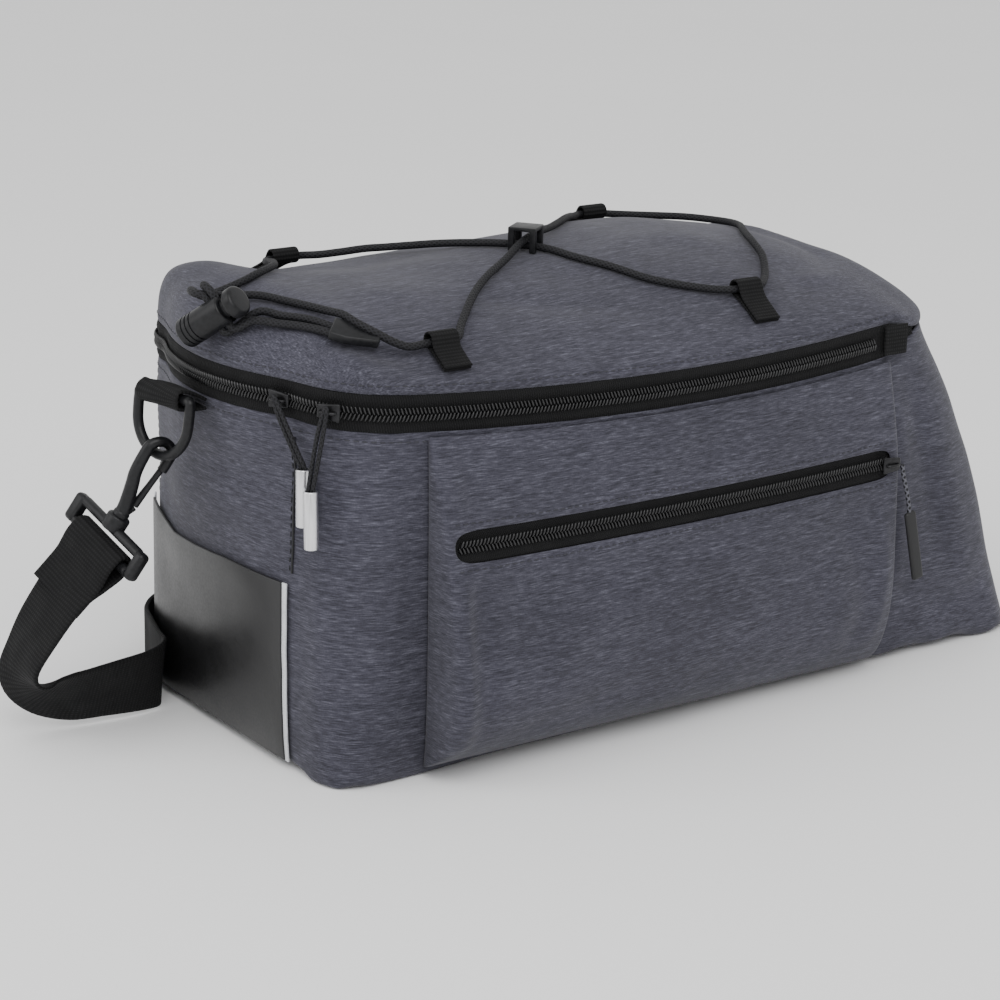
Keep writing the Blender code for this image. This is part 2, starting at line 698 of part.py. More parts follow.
def make_pocket(label, side):
    """A side pocket: shell with a slot, zip tape and teeth behind the slot, slider, cord and tag."""
    heights = [row[0] for row in POCKET_ROWS]
    length = POCKET_RIGHT_X - POCKET_LEFT_X
    rows = []
    for share in heights:
        row = []
        for k, column in enumerate(POCKET_COLUMNS):
            x = POCKET_LEFT_X + column * length
            z = pocket_z(share, x)
            depth = POCKET_DEPTH * (1 - column) * interpolate(POCKET_ROWS, 0, 1, share)
            depth += POCKET_DEPTH * column * interpolate(POCKET_ROWS, 0, 2, share)
            if k in (0, len(POCKET_COLUMNS) - 1):
                row_end = pocket_point(x, z, 0.0, side)
            row.append(pocket_point(x, z, depth, side))
            if k == 0:
                row.insert(0, row_end)
            if k == len(POCKET_COLUMNS) - 1:
                row.append(row_end)
        rows.append(row)
    columns = len(rows[0])
    low_row = max(k for k, h in enumerate(heights) if h * POCKET_HEIGHT < POCKET_ZIP_Z - POCKET_SLOT / 2 + 1e-4)
    faces = []
    for n, face in enumerate(ring_faces(len(rows), columns, False)):
        r, c = divmod(n, columns - 1)
        if r == low_row and 2 <= c <= columns - 4:
            continue
        faces.append(face if side < 0 else tuple(reversed(face)))
    name = label + "_pocket"
    thing = new_object(name, mesh_of(name, [p for row in rows for p in row], faces))
    solidify(thing, POCKET_CLOTH, -1)
    paint(thing, FABRIC)
    slot_low = POCKET_ZIP_Z - POCKET_SLOT / 2 - POCKET_TAPE_LAP
    slot_high = POCKET_ZIP_Z + POCKET_SLOT / 2 + POCKET_TAPE_LAP
    away = Vector((0, side, 0))
    for piece, low, high, behind, thick, made in (
        ("tape", slot_low, slot_high, POCKET_CLOTH + GAP, POCKET_TAPE_THICK, WEBBING),
        ("teeth", POCKET_ZIP_Z - TEETH_HEIGHT / 2, POCKET_ZIP_Z + TEETH_HEIGHT / 2,
         POCKET_CLOTH - TEETH_THICK, TEETH_THICK, TEETH),
    ):
        rows = []
        start, end = (POCKET_CLOTH + GAP,) * 2 if piece == "tape" else (POCKET_TEETH_START, POCKET_TEETH_END)
        for z in (low, (low + high) / 2, high):
            row = []
            for column in POCKET_COLUMNS:
                x = POCKET_LEFT_X + start + column * (length - start - end)
                share = (x - POCKET_LEFT_X) / length
                row.append(pocket_point(x, z, pocket_depth(z, share) - behind, side))
            rows.append(row)
        outward(rows, thick, made, label + "_pocket_zip_" + piece, away)
    x = POCKET_RIGHT_X - POCKET_SLIDER_BACK
    share = (x - POCKET_LEFT_X) / length
    seat = pocket_point(x, POCKET_ZIP_Z, pocket_depth(POCKET_ZIP_Z, share), side)
    seat += away * (TEETH_THICK - POCKET_CLOTH + 4 * GAP)
    frame = frame_of(seat, Vector((1, 0, 0)), away)
    slider = block(
        label + "_pocket_slider", frame, (0, -SLIDER_HEIGHT / 2, -SLIDER_LENGTH / 2),
        (SLIDER_THICK, SLIDER_HEIGHT / 2, SLIDER_LENGTH / 2), STEEL,
    )
    chamfer(slider, 0.0007)
    top = seat + away * (SLIDER_THICK / 2) + Vector((SLIDER_LENGTH / 2 + GAP + PULL_CORD / 2, 0, 0))
    path = []
    for right, down in POCKET_PULL:
        x, z = top.x + right, top.z - down
        skin = side_skin(x, z, side).y * side
        inside = pocket_depth(z, 1.0) + GAP if x < POCKET_RIGHT_X + CORD else 0.0
        clear = max(skin + inside + PULL_LIFT, top.y * side - down * 0.1)
        path.append(Vector((x, side * clear, z)))
    rod(label + "_pocket_pull_cord", path, PULL_CORD, WEBBING)
    hang = (path[-1] - path[-2]).normalized()
    low = path[-1] + hang * GAP
    frame = frame_of(low, hang, away)
    tag = block(
        label + "_pocket_pull_tag", frame, (-TAG_THICK / 2, -TAG_WIDTH / 2, 0),
        (TAG_THICK / 2, TAG_WIDTH / 2, TAG_LENGTH), RUBBER,
    )
    chamfer(tag, 0.0009)


def make_panel():
    """The dark end panel and the two reflective edges beside it."""
    def strip_of(low_y, high_y, steps, name, thick, made):
        rows = []
        for n in range(PANEL_ROWS + 1):
            row = []
            for k in range(steps + 1):
                y = low_y + (high_y - low_y) * k / steps
                top = interpolate(PANEL_TOP, 0, 1, y)
                z = PANEL_BOTTOM + (top - PANEL_BOTTOM) * n / PANEL_ROWS
                skin, normal = end_skin(y, z, -1)
                row.append(skin + normal * (PANEL_LIFT + thick))
            rows.append(row)
        return outward(rows, thick, made, name, Vector((-1, 0, 0)))

    strip_of(PANEL_NEAR_Y, PANEL_FAR_Y, 15, "end_panel", PANEL_THICK, PANEL)
    near = PANEL_NEAR_Y - GAP
    strip_of(near - STRIP_WIDTH, near, 1, "near_reflective_strip", STRIP_THICK, REFLECTIVE)
    far = PANEL_FAR_Y + 4 * GAP
    strip_of(far, far + STRIP_WIDTH, 1, "far_reflective_strip", STRIP_THICK, REFLECTIVE)


def make_zip_tab(label, side):
    """Folded webbing over the end of the main zip."""
    rows = []
    for n in range(6):
        z = ZIP_TAB_LOW + (ZIP_TAB_HIGH - ZIP_TAB_LOW) * n / 5
        row = []
        for k in range(3):
            x = ZIP_TAB_LEFT + (ZIP_TAB_RIGHT - ZIP_TAB_LEFT) * k / 2 + ZIP_TAB_LEAN * (n / 5 - 0.5)
            skin = side_skin(x, z, side)
            row.append(Vector((x, skin.y + side * (TEETH_THICK + ZIP_TAB_THICK + GAP), z)))
        rows.append(row)
    outward(rows, ZIP_TAB_THICK, WEBBING, label + "_zip_end_tab", Vector((0, side, 0)))


def make_main_pull(label, along, top_point, low_point):
    """Slider on the main zip with its cord loop and metal tube."""
    path = zip_path(TAPE_INSET - 2 * GAP - TEETH_THICK, ZIP_END_X)
    seat, nearest = None, 1.0
    for a, b in zip(path, path[1:]):
        for n in range(8):
            point = a.lerp(b, n / 8)
            if abs(point.x - along) < nearest and point.y < 0:
                nearest = abs(point.x - along)
                seat, run = point, (b - a).normalized()
    seat = Vector((seat.x, seat.y, zip_line(seat.x)))
    out = Vector((run.y, -run.x, 0))
    frame = frame_of(seat, run, out)
    slider = block(
        label + "_slider", frame, (0, -SLIDER_HEIGHT / 2, -SLIDER_LENGTH / 2),
        (SLIDER_THICK, SLIDER_HEIGHT / 2, SLIDER_LENGTH / 2), STEEL,
    )
    chamfer(slider, 0.0007)
    start = seat + out * (SLIDER_THICK + GAP + PULL_CORD / 2) + Vector((0, 0, 0.0010))
    hang = (low_point - top_point).normalized()
    spread = run * PULL_SPREAD
    into = top_point + hang * 0.0040
    left = [start + spread * 0.5, start.lerp(top_point, 0.3) + spread + out * 0.0006,
            start.lerp(top_point, 0.7) + spread + out * 0.0004, top_point + spread * 0.8, into + spread * 0.8]
    right = [start - spread * 0.5, start.lerp(top_point, 0.3) - spread + out * 0.0006,
             start.lerp(top_point, 0.7) - spread + out * 0.0004, top_point - spread * 0.8, into - spread * 0.8]
    rod(label + "_pull_cord", list(reversed(left)) + right, PULL_CORD, WEBBING)
    frame = frame_of(top_point, hang, out)
    tube = cylinder(label + "_pull_tube", frame, 0, PULL_TUBE_LENGTH, PULL_TUBE, ALUMINIUM)
    chamfer(tube, 0.0004)
    bore = cylinder(label + "_pull_tube_bore", frame, -0.002, 0.006, PULL_TUBE_BORE, ALUMINIUM, True, 16)
    combine(tube, bore, "DIFFERENCE")


def make_loop(name, root, reach):
    """A folded webbing loop that holds the stretch cord, from its seam to the cord."""
    seam = Vector((*root, lid_top(*root)))
    cord = Vector((*reach, lid_top(*reach) + CORD / 2 + LOOP_LIFT))
    run = (Vector((*reach, lid_top(*reach))) - seam).normalized()
    across = Vector((0, 0, 1)).cross(run).normalized()
    up = run.cross(across)
    wrap = CORD / 2 + LOOP_CLEARANCE + LOOP_THICK / 2
    low = seam + up * (LOOP_REST + LOOP_THICK / 2)
    high = low + up * (LOOP_THICK + GAP)
    under, over = cord - up * wrap, cord + up * wrap
    path = [low, low.lerp(under, 0.4) + up * LOOP_BULGE, low.lerp(under, 0.75) + up * LOOP_BULGE]
    for angle in (-90, -45, 0, 45, 90, 130):
        turn = math.radians(angle)
        path.append(cord + (run * math.cos(turn) + up * math.sin(turn)) * wrap)
    path += [low.lerp(under, 0.6) + up * (LOOP_BULGE + LOOP_THICK + 3 * GAP), high]
    rows = [[p - across * (LOOP_WIDTH / 2), p + across * (LOOP_WIDTH / 2)] for p in path]
    sheet(name, rows, LOOP_THICK, 0, WEBBING)


def on_lid(rows):
    """Places on the lid with their lift, as the middle of the cord."""
    return [Vector((x, y, lid_top(x, y) + CORD / 2 + lift)) for x, y, lift in rows]


def make_cord():
    """The stretch cord, whole, and the lock that grips its two strands."""
    axis = (LOCK_HEAD - LOCK_END).normalized()
    through = LOCK_THROUGH.normalized()
    middle = LOCK_END + axis * LOCK_MIDDLE
    one, two = middle - axis * LOCK_STRANDS, middle + axis * LOCK_STRANDS
    route = on_lid(TAIL_ONE) + [one - through * LOCK_LEAVE, one, one + through * LOCK_LEAVE]
    route += [Vector(p) for p in BLOB_ONE] + on_lid(CORD_ROUTE) + [Vector(p) for p in BLOB_TWO]
    route += [two + through * LOCK_LEAVE, two, two - through * LOCK_LEAVE] + on_lid(TAIL_TWO)
    rod("bungee_cord", route, CORD, CORD_BLACK, sides=1)
    frame = frame_of(LOCK_END, axis, through)
    barrel = cylinder("cord_lock_barrel", frame, 0, LOCK_LENGTH, LOCK_WIDTH, PLASTIC)
    chamfer(barrel, 0.0008)
    bore = cylinder("lock_bore", frame, LOCK_BORE_FOOT, BUTTON_TOP, LOCK_BORE, PLASTIC, True)
    slot_foot = LOCK_MIDDLE - LOCK_SLOT / 2
    half = LOCK_SLOT_HEIGHT / 2
    slot = block(
        "lock_slot", frame, (-LOCK_WIDTH, -half, slot_foot), (LOCK_WIDTH, half, BUTTON_TOP), PLASTIC, True
    )
    combine(barrel, bore, "DIFFERENCE")
    combine(barrel, slot, "DIFFERENCE")
    frame = frame_of(Vector(), axis, through)
    head = LOCK_LENGTH + BUTTON_TRAVEL + GAP - LOCK_MIDDLE
    button = cylinder("cord_lock_button", frame, head, BUTTON_TOP - LOCK_MIDDLE, LOCK_WIDTH, PLASTIC)
    stem = cylinder(
        "button_stem", frame, BUTTON_FOOT - LOCK_MIDDLE, head + 0.001, BUTTON_WIDTH, PLASTIC, True
    )
    notch = block(
        "button_slot", frame, (-LOCK_WIDTH, -half, -LOCK_SLOT / 2 - GAP), (LOCK_WIDTH, half, head),
        PLASTIC, True,
    )
    chamfer(button, 0.0012, 2)
    combine(button, stem, "UNION")
    combine(button, notch, "DIFFERENCE")
    for thing in (button, stem, notch):
        thing.location = middle


def make_wedge():
    """The flat end piece that holds the two tails of the cord."""
    a, b = (Vector((x, y, lid_top(x, y))) for x, y in (WEDGE_LEFT, WEDGE_RIGHT))
    run = (b - a).normalized()
    flat = Vector((0, 0, 1)).cross(run).normalized() * WEDGE_HALF
    left, right = a + flat, a - flat
    side = Vector((*left.xy, lid_top(*left.xy))) - Vector((*right.xy, lid_top(*right.xy)))
    side = (side - run * side.dot(run)).normalized()
    up = run.cross(side)
    low = a + up * WEDGE_LIFT
    length = (b - a).length
    points = []
    for lift in (0, WEDGE_THICK):
        for along, across in WEDGE_OUTLINE:
            points.append(low + run * (along * length) + side * (across * WEDGE_HALF) + up * lift)
    count = len(WEDGE_OUTLINE)
    faces = [tuple(reversed(range(count))), tuple(range(count, 2 * count))]
    for k in range(count):
        n = (k + 1) % count
        faces.append((k, n, n + count, k + count))
    thing = new_object("cord_end_wedge", mesh_of("cord_end_wedge", points, faces))
    paint(thing, PLASTIC)
    chamfer(thing, 0.0005)


def make_clip():
    """The clip over the crossing of the cord: a plate on four posts."""
    x, y = CLIP_PLACE
    ground = lid_top(x, y)
    frame = frame_of(Vector((x, y, ground)), Vector((0, 0, 1)), Vector((*CLIP_TURN, 0)))
    half = CLIP_SIZE / 2
    top = 2 * CORD + CORD_LIFT + 4 * GAP + 0.0006
    clip = block("cord_clip", frame, (-half, -half, top), (half, half, top + CLIP_PLATE), PLASTIC)
    for n, (i, j) in enumerate(((-1, -1), (1, -1), (1, 1), (-1, 1))):
        a = (i * half - (i + 1) / 2 * CLIP_POST, j * half - (j + 1) / 2 * CLIP_POST)
        corner = frame @ Vector((a[0] + CLIP_POST / 2, a[1] + CLIP_POST / 2, 0))
        foot = lid_top(corner.x, corner.y) - ground + CLIP_FOOT
        post = block(
            "clip_post_%d" % n, frame, (a[0], a[1], foot),
            (a[0] + CLIP_POST, a[1] + CLIP_POST, top + CLIP_PLATE / 2), PLASTIC, True,
        )
        combine(clip, post, "UNION")


def make_ring_and_tab(label, bar, across, hang, out, root_high, root_low):
    """A D-ring with its bar in a folded webbing tab."""
    across, hang = across.normalized(), hang.normalized()
    half = (RING_WIDTH - RING_WIRE) / 2
    drop = RING_HEIGHT - RING_WIRE
    points = [bar - across * (half * 0.90), bar + across * (half * 0.90)]
    centre = drop * 0.38
    for k in range(13):
        turn = math.pi * k / 12
        points.append(
            bar + across * (half * math.cos(turn)) + hang * (centre + (drop - centre) * math.sin(turn))
        )
    points.insert(2, bar + across * half + hang * (0.12 * drop))
    points.append(bar - across * half + hang * (0.12 * drop))
    rod(label + "_d_ring", points, RING_WIRE, PLASTIC, True)
    wrap = RING_WIRE / 2 + LOOP_CLEARANCE + TAB_THICK / 2
    up = across.cross(out)
    if up.z < 0:
        up = -up
    path = [root_high, root_high.lerp(bar + up * wrap, 0.5) + up * 0.0006]
    for angle in (90, 55, 20, -20, -55, -90):
        turn = math.radians(angle)
        path.append(bar + up * (wrap * math.sin(turn)) + out * (wrap * math.cos(turn)))
    path += [root_low.lerp(bar - up * wrap, 0.5) - up * 0.0002, root_low]
    rows = []
    for n, middle in enumerate(path):
        share = smooth(min(n, len(path) - 1 - n) / 2)
        edge = (TAB_ROOT_ACROSS.lerp(across, share)).normalized() * (TAB_WIDTH / 2)
        rows.append([middle - edge, middle, middle + edge])
    sheet(label + "_ring_tab", rows, TAB_THICK, 0, WEBBING)


def make_hook(label, base, up, out, across):
    """A snap hook: frame for the strap, collar and hook in one, and its hinged gate."""
    up = up.normalized()
    out = (out - up * out.dot(up)).normalized()
    across = (across - up * across.dot(up)).normalized()

    def at(along, sideways):
        return base + up * along + out * sideways

    reach = HOOK_REACH + (RING_WIRE + HOOK_ROD) / 2 + HOOK_CLEARANCE
    start = FRAME_HEIGHT / 2 - FRAME_ROD / 2
    top = reach - HOOK_HALF
    path = [at(start, 0), at(0.0130, 0), at(0.0185, -HOOK_HALF * 0.22), at(0.0245, -HOOK_HALF * 0.55),
            at(0.0305, -HOOK_HALF * 0.88), at(top, -HOOK_HALF)]
    for k in range(1, 7):
        turn = math.radians(180 - 30 * k)
        path.append(at(reach - HOOK_HALF + HOOK_HALF * math.sin(turn), HOOK_HALF * math.cos(turn)))
    path.append(at(HOOK_TIP, HOOK_HALF))
    hook = rod(label + "_snap_hook", path, HOOK_ROD, PLASTIC)
    frame = frame_of(base, up, across)
    collar = cylinder(label + "_collar", frame, start - 0.0010, start + 0.0055, HOOK_COLLAR, PLASTIC, True, 16)
    half, high = (FRAME_WIDTH - FRAME_ROD) / 2, (FRAME_HEIGHT - FRAME_ROD) / 2
    corner = 0.0030
    loop = []
    for i, j in ((1, 1), (-1, 1), (-1, -1), (1, -1)):
        first = (half - corner, high) if i * j > 0 else (half, high - corner)
        second = (half, high - corner) if i * j > 0 else (half - corner, high)
        for a, b in (second, first) if i * j > 0 else (second, first):
            loop.append(base + across * (i * a) + up * (j * b))
    loop_rod = rod(label + "_frame", loop, FRAME_ROD, PLASTIC, True, hidden=True)
    combine(hook, collar, "UNION")
    combine(hook, loop_rod, "UNION")
    pivot = at(GATE_FOOT, GATE_SIDE)
    tip = at(HOOK_TIP - HOOK_ROD / 2 - GATE_GAP, HOOK_HALF - GATE_LEAN) - pivot
    gate = rod(label + "_hook_gate", [Vector(), tip * 0.5, tip], GATE_ROD, PLASTIC)
    gate.location = pivot
    return high


def strap_turn(base, up, across, leave, facing):
    """The strap's fold round the lower bar of a hook's frame, from its sewn end to the main run."""
    bar = base - up * ((FRAME_HEIGHT - FRAME_ROD) / 2)
    down = (leave - across * leave.dot(across)).normalized()
    flat = across.cross(down).normalized()
    if flat.dot(facing) < 0:
        flat = -flat
    wrap = FRAME_ROD / 2 + LOOP_CLEARANCE + STRAP_THICK / 2
    side = (STRAP_THICK + GAP) / 2
    path = [bar + down * a + flat * (side + (wrap - side) * b) for a, b in STRAP_SEWN]
    for angle in (80, 45, 0, -45, -80):
        turn = math.radians(angle)
        path.append(bar - down * (wrap * math.cos(turn)) + flat * (wrap * math.sin(turn)))
    path += [bar + down * a - flat * (side + (wrap - side) * b) for a, b in reversed(STRAP_SEWN)]
    return path


def make_strap(left, right):
    """The shoulder strap, whole, from its fold on one hook round the far side to the other."""
    rows = [(p, left[2]) for p in strap_turn(*left)]
    for x, y, z, degrees in STRAP_LEFT:
        turn = math.radians(degrees)
        rows.append((Vector((x, y, z)), Vector((0, -math.sin(turn), math.cos(turn)))))
    up = Vector((0, 0, 1))
    corner = section(0.1)
    reach = corner["far"] + STRAP_CLEARANCE
    middle = Vector((corner["left"] + corner["far"], corner["half"] - corner["far"], STRAP_HEIGHT))
    for degrees in (170, 150, 130, 112):
        turn = math.radians(degrees)
        rows.append((middle + Vector((math.cos(turn), math.sin(turn), 0)) * reach, up))
    for x, beyond in STRAP_FAR:
        skin = side_skin(x, STRAP_HEIGHT, 1)
        rows.append((Vector((x, skin.y + beyond, STRAP_HEIGHT)), up))
    corner = section(0.0)
    middle = Vector((corner["right"] - corner["far"], corner["half"] - corner["far"], STRAP_HEIGHT))
    for degrees in (80, 55, 30, 8):
        turn = math.radians(degrees)
        rows.append((middle + Vector((math.cos(turn), math.sin(turn), 0)) * (reach + GAP * 4), up))
    fold = list(reversed(strap_turn(*right)))
    target = fold[0]
    skin, normal = end_skin(target.y, target.z, 1)
    lift = (target - skin).dot(normal)
    bend = target.z - STRAP_HEIGHT - 0.002
    for degrees in (90, 72, 54, 36, 18):
        turn = math.radians(degrees)
        y = target.y + bend * (1 - math.cos(turn))
        z = STRAP_HEIGHT + bend * (1 - math.sin(turn))
        skin, normal = end_skin(y, z, 1)
        share = 1 - degrees / 90
        width = Vector((0, -math.cos(turn), math.sin(turn)))
        width -= normal * width.dot(normal)
        rows.append((skin + normal * (STRAP_CLEARANCE + (lift - STRAP_CLEARANCE) * share), width))
    rows += [(p, Vector((0, -1, 0))) for p in fold]
    grid = []
    for centre, across in rows:
        edge = across.normalized() * (STRAP_WIDTH / 2)
        grid.append([centre - edge, centre, centre + edge])
    sheet("shoulder_strap", grid, STRAP_THICK, 0, WEBBING)


def ring_point(bar, across, hang, aside):
    """A point of a D-ring's round side, at a distance beside its middle."""
    half = (RING_WIDTH - RING_WIRE) / 2
    drop = RING_HEIGHT - RING_WIRE
    centre = drop * 0.38
    lower = centre + (drop - centre) * math.sqrt(1 - (aside / half) ** 2)
    return bar + across.normalized() * aside + hang.normalized() * lower


def make_hardware():
    """D-ring, tab and hook at both ends, and the strap between them."""
    out = Vector((-1, 0, 0))
    skin, normal = end_skin(LEFT_BAR.y, 0.1420, -1)
    lift = normal * (GAP + TAB_THICK / 2)
    high = skin + lift + Vector((0, 0, 0.0018))
    low = skin + lift - Vector((0, 0, 0.0018))
    make_ring_and_tab("left", LEFT_BAR, LEFT_ACROSS, LEFT_HANG, out, high, low)
    wire = ring_point(LEFT_BAR, LEFT_ACROSS, LEFT_HANG, LEFT_HOOK_OFFSET)
    up = LEFT_HOOK_UP.normalized()
    base = wire - up * HOOK_REACH
    across = (LEFT_HOOK_ACROSS - up * LEFT_HOOK_ACROSS.dot(up)).normalized()
    make_hook("left", base, up, LEFT_HOOK_OUT, across)
    leave = Vector(STRAP_LEFT[0][:3]) - base
    left = (base, up, across, leave, Vector((-1, -1, 0)))
    y, z = RIGHT_ROOT
    skin, normal = end_skin(y, z, 1)
    down = Vector((-normal.z, 0, normal.x)) * -1
    across = Vector((0, 1, 0))
    bar = skin + normal * RIGHT_BAR_LIFT
    lift = normal * (GAP + TAB_THICK / 2)
    make_ring_and_tab("right", bar, across, down, normal, skin + lift - down * 0.0018,
                      skin + lift + down * 0.0018)
    wire = ring_point(bar, across, down, 0.0)
    base = wire + down * HOOK_REACH
    make_hook("right", base, -down, normal, across)
    right = (base, -down, across, down, normal)
    make_strap(left, right)


PARTS = bpy.data.collections.new("bicycle_rack_bag")
CUTTERS = bpy.data.collections.new("cutters")
bpy.context.scene.collection.children.link(PARTS)
bpy.context.scene.collection.children.link(CUTTERS)
CUTTERS.hide_render = True
FABRIC = material("grey_blue_cloth", (0.105, 0.103, 0.135), 0.9)
WEBBING = material("black_webbing", (0.016, 0.016, 0.018), 0.85)
TEETH = material("black_coil", (0.02, 0.02, 0.022), 0.45)
STEEL = material("dark_metal", (0.06, 0.06, 0.065), 0.4, 0.8)
ALUMINIUM = material("aluminium", (0.62, 0.62, 0.64), 0.35, 1.0)
PANEL = material("smooth_black_panel", (0.018, 0.018, 0.02), 0.5)
REFLECTIVE = material("silver_reflective", (0.62, 0.63, 0.65), 0.4, 0.3)
RUBBER = material("dark_rubber", (0.03, 0.03, 0.034), 0.7)
CORD_BLACK = material("black_cord", (0.02, 0.02, 0.023), 0.8)
PLASTIC = material("dark_plastic", (0.035, 0.035, 0.04), 0.42)
BODY_ROWS = body_rows()
LID_ROWS = lid_rows()
BODY_TREE = tree_of(BODY_ROWS)
LID_TREE = tree_of(LID_ROWS)
RIM_CHECK = 0.1380
paint(make_body(), FABRIC)
paint(make_lid(), FABRIC)
make_zip()
for side_label, side_sign in (("near", -1), ("far", 1)):
    make_pocket(side_label, side_sign)
    make_zip_tab(side_label, side_sign)
make_main_pull("left", -0.1868, Vector((-0.1877, -0.0622, 0.1276)), Vector((-0.1880, -0.0627, 0.1048)))
make_main_pull("right", -0.1795, Vector((-0.1885, -0.0689, 0.1206)), Vector((-0.1888, -0.0702, 0.0989)))
make_panel()
for loop_name, loop_root, loop_reach in LOOPS:
    make_loop(loop_name + "_cord_loop", loop_root, loop_reach)
make_cord()
make_wedge()
make_clip()
make_hardware()
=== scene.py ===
"""Looks of the bicycle rack bag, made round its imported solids. Metres, +Z up, near side towards -Y."""

import math

import bmesh
import bpy
import numpy as np
from bpy.props import FloatProperty, FloatVectorProperty, IntProperty, PointerProperty
from bpy.types import Operator, Panel, PropertyGroup
from mathutils import Matrix, Vector, noise
from mathutils.bvhtree import BVHTree


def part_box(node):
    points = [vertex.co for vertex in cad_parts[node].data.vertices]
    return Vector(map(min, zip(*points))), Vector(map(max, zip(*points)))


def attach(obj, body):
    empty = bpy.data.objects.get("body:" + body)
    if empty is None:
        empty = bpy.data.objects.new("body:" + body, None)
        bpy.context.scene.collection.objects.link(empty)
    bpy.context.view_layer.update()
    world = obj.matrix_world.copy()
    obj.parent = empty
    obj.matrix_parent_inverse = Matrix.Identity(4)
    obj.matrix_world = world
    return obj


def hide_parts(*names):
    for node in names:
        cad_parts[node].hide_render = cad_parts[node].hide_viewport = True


bl_info = {
    "name": "Bicycle Rack Bag",
    "version": (1, 0, 0),
    "blender": (4, 5, 0),
    "location": "3D View > Sidebar > Rack Bag",
    "description": "Cloth, zips, webbing, stretch cord and hooks of a bicycle rack bag",
    "category": "Add Mesh",
}

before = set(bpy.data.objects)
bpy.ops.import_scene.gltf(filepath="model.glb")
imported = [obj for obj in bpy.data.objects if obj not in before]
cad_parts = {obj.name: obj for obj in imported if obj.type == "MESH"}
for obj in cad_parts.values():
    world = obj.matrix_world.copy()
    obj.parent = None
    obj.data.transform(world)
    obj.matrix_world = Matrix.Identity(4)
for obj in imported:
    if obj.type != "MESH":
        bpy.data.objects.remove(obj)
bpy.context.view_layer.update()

# Sizes of the solids
BASE_LENGTH = 0.373
END_SLANT = 0.055
ZIP_HEIGHT = 0.152
ZIP_SAG = 0.006
GAP = 0.0003
TAPE_HEIGHT = 0.0135
TEETH_HEIGHT = 0.0055
TEETH_THICK = 0.0018
POCKET_LEFT_X = -0.147
POCKET_RIGHT_X = 0.091
POCKET_ZIP_Z = 0.0985
POCKET_SLOT = 0.0120
SLIDER_THICK = 0.0026
PULL_CORD = 0.0018
PULL_TUBE = 0.0057
PULL_TUBE_LENGTH = 0.0230
CORD = 0.0032
LOOP_WIDTH = 0.0125
LOOP_THICK = 0.0010
LOOP_CLEARANCE = 0.0008
LOOP_LIFT = 0.0030
LOCK_END = Vector((-0.2058, -0.0039, 0.1705))
LOCK_HEAD = Vector((-0.1943, -0.0256, 0.1870))
LOCK_THROUGH = Vector((-0.341, 0.4506, 0.825))
LOCK_LENGTH = 0.0228
LOCK_WIDTH = 0.0124
LOCK_BORE = 0.0092
LOCK_BORE_FOOT = 0.0055
LOCK_SLOT = 0.0080
LOCK_SLOT_HEIGHT = 0.0042
LOCK_MIDDLE = 0.0187
LOCK_STRANDS = 0.0018
LOCK_LEAVE = 0.0082
BUTTON_WIDTH = 0.0084
BUTTON_FOOT = 0.0080
BUTTON_TRAVEL = 0.0018
BUTTON_TOP = 0.0302
RING_WIRE = 0.0043
RING_WIDTH = 0.0350
RING_HEIGHT = 0.0290
TAB_WIDTH = 0.0258  # wider than the solid's, as the webbing spreads over the ring
TAB_THICK = 0.0014
HOOK_ROD = 0.0042
HOOK_CLEARANCE = 0.0013
GATE_ROD = 0.0026
HOOK_REACH = 0.0400
HOOK_HALF = 0.0052
HOOK_TIP = 0.0345
GATE_FOOT = 0.0165
GATE_SIDE = 0.0030
GATE_GAP = 0.0004
GATE_LEAN = 0.0006
FRAME_ROD = 0.0044
FRAME_WIDTH = 0.0480
FRAME_HEIGHT = 0.0134
STRAP_WIDTH = 0.0320
STRAP_THICK = 0.0020
STRAP_HEIGHT = 0.0166
STRAP_CLEARANCE = 0.0052

# Sizes that only the looks use
TAPE_THICK = 0.0010
TAPE_LIP = 0.0022
TEETH_LIFT = GAP + TEETH_THICK * 0.35
ZIP_CENTRE_X = -0.030
ZIP_END_X = 0.092
PANEL_EDGE = 0.0004
STRIP_EDGE = 0.0002
RING_CENTRE = 0.38
FLOOR_SIZE = 12
FLOOR_GAP = 0.0004
HEM_STITCH = TAPE_HEIGHT / 2 + 0.0042
POCKET_STITCH = POCKET_SLOT / 2 + 0.0030
TAB_SEWN = 0.0018
LUG_WIDTH = 0.0036
BRIDGE_WIRE = 0.0013
TUBE_MOUTH = 0.0046
TUBE_FOOT_BORE = 0.0034
TAPE_BEYOND = 0.0185
TAPE_SUNK = 0.0022
TAPE_TAPER = 0.72
TAPE_STEPS = 12

# Courses, corners and places of the solids
STRAP_SEWN = ((0.0270, 0.0), (0.0190, 0.0), (0.0120, 0.12), (0.0045, 0.95))
CORNER_LOW = 0.0345
CORNER_BASE = 0.0340
HALF_LOW = 0.085
HALF_BASE = 0.083
LEFT_BAR = Vector((-0.2105, 0.0053, 0.1443))
LEFT_ACROSS = Vector((-0.20, 0.98, 0.0))
LEFT_HANG = Vector((-0.0020, 0.0012, -0.0247))
LEFT_HOOK_UP = Vector((0.46, -0.25, 0.852))
LEFT_HOOK_OUT = Vector((0.864, -0.10, -0.5035))
LEFT_HOOK_ACROSS = Vector((0.10, -0.936, -0.349))
LEFT_HOOK_OFFSET = 0.0010
RIGHT_ROOT = (-0.004, 0.128)
RIGHT_BAR_LIFT = 0.0105
UP = Vector((0, 0, 1))

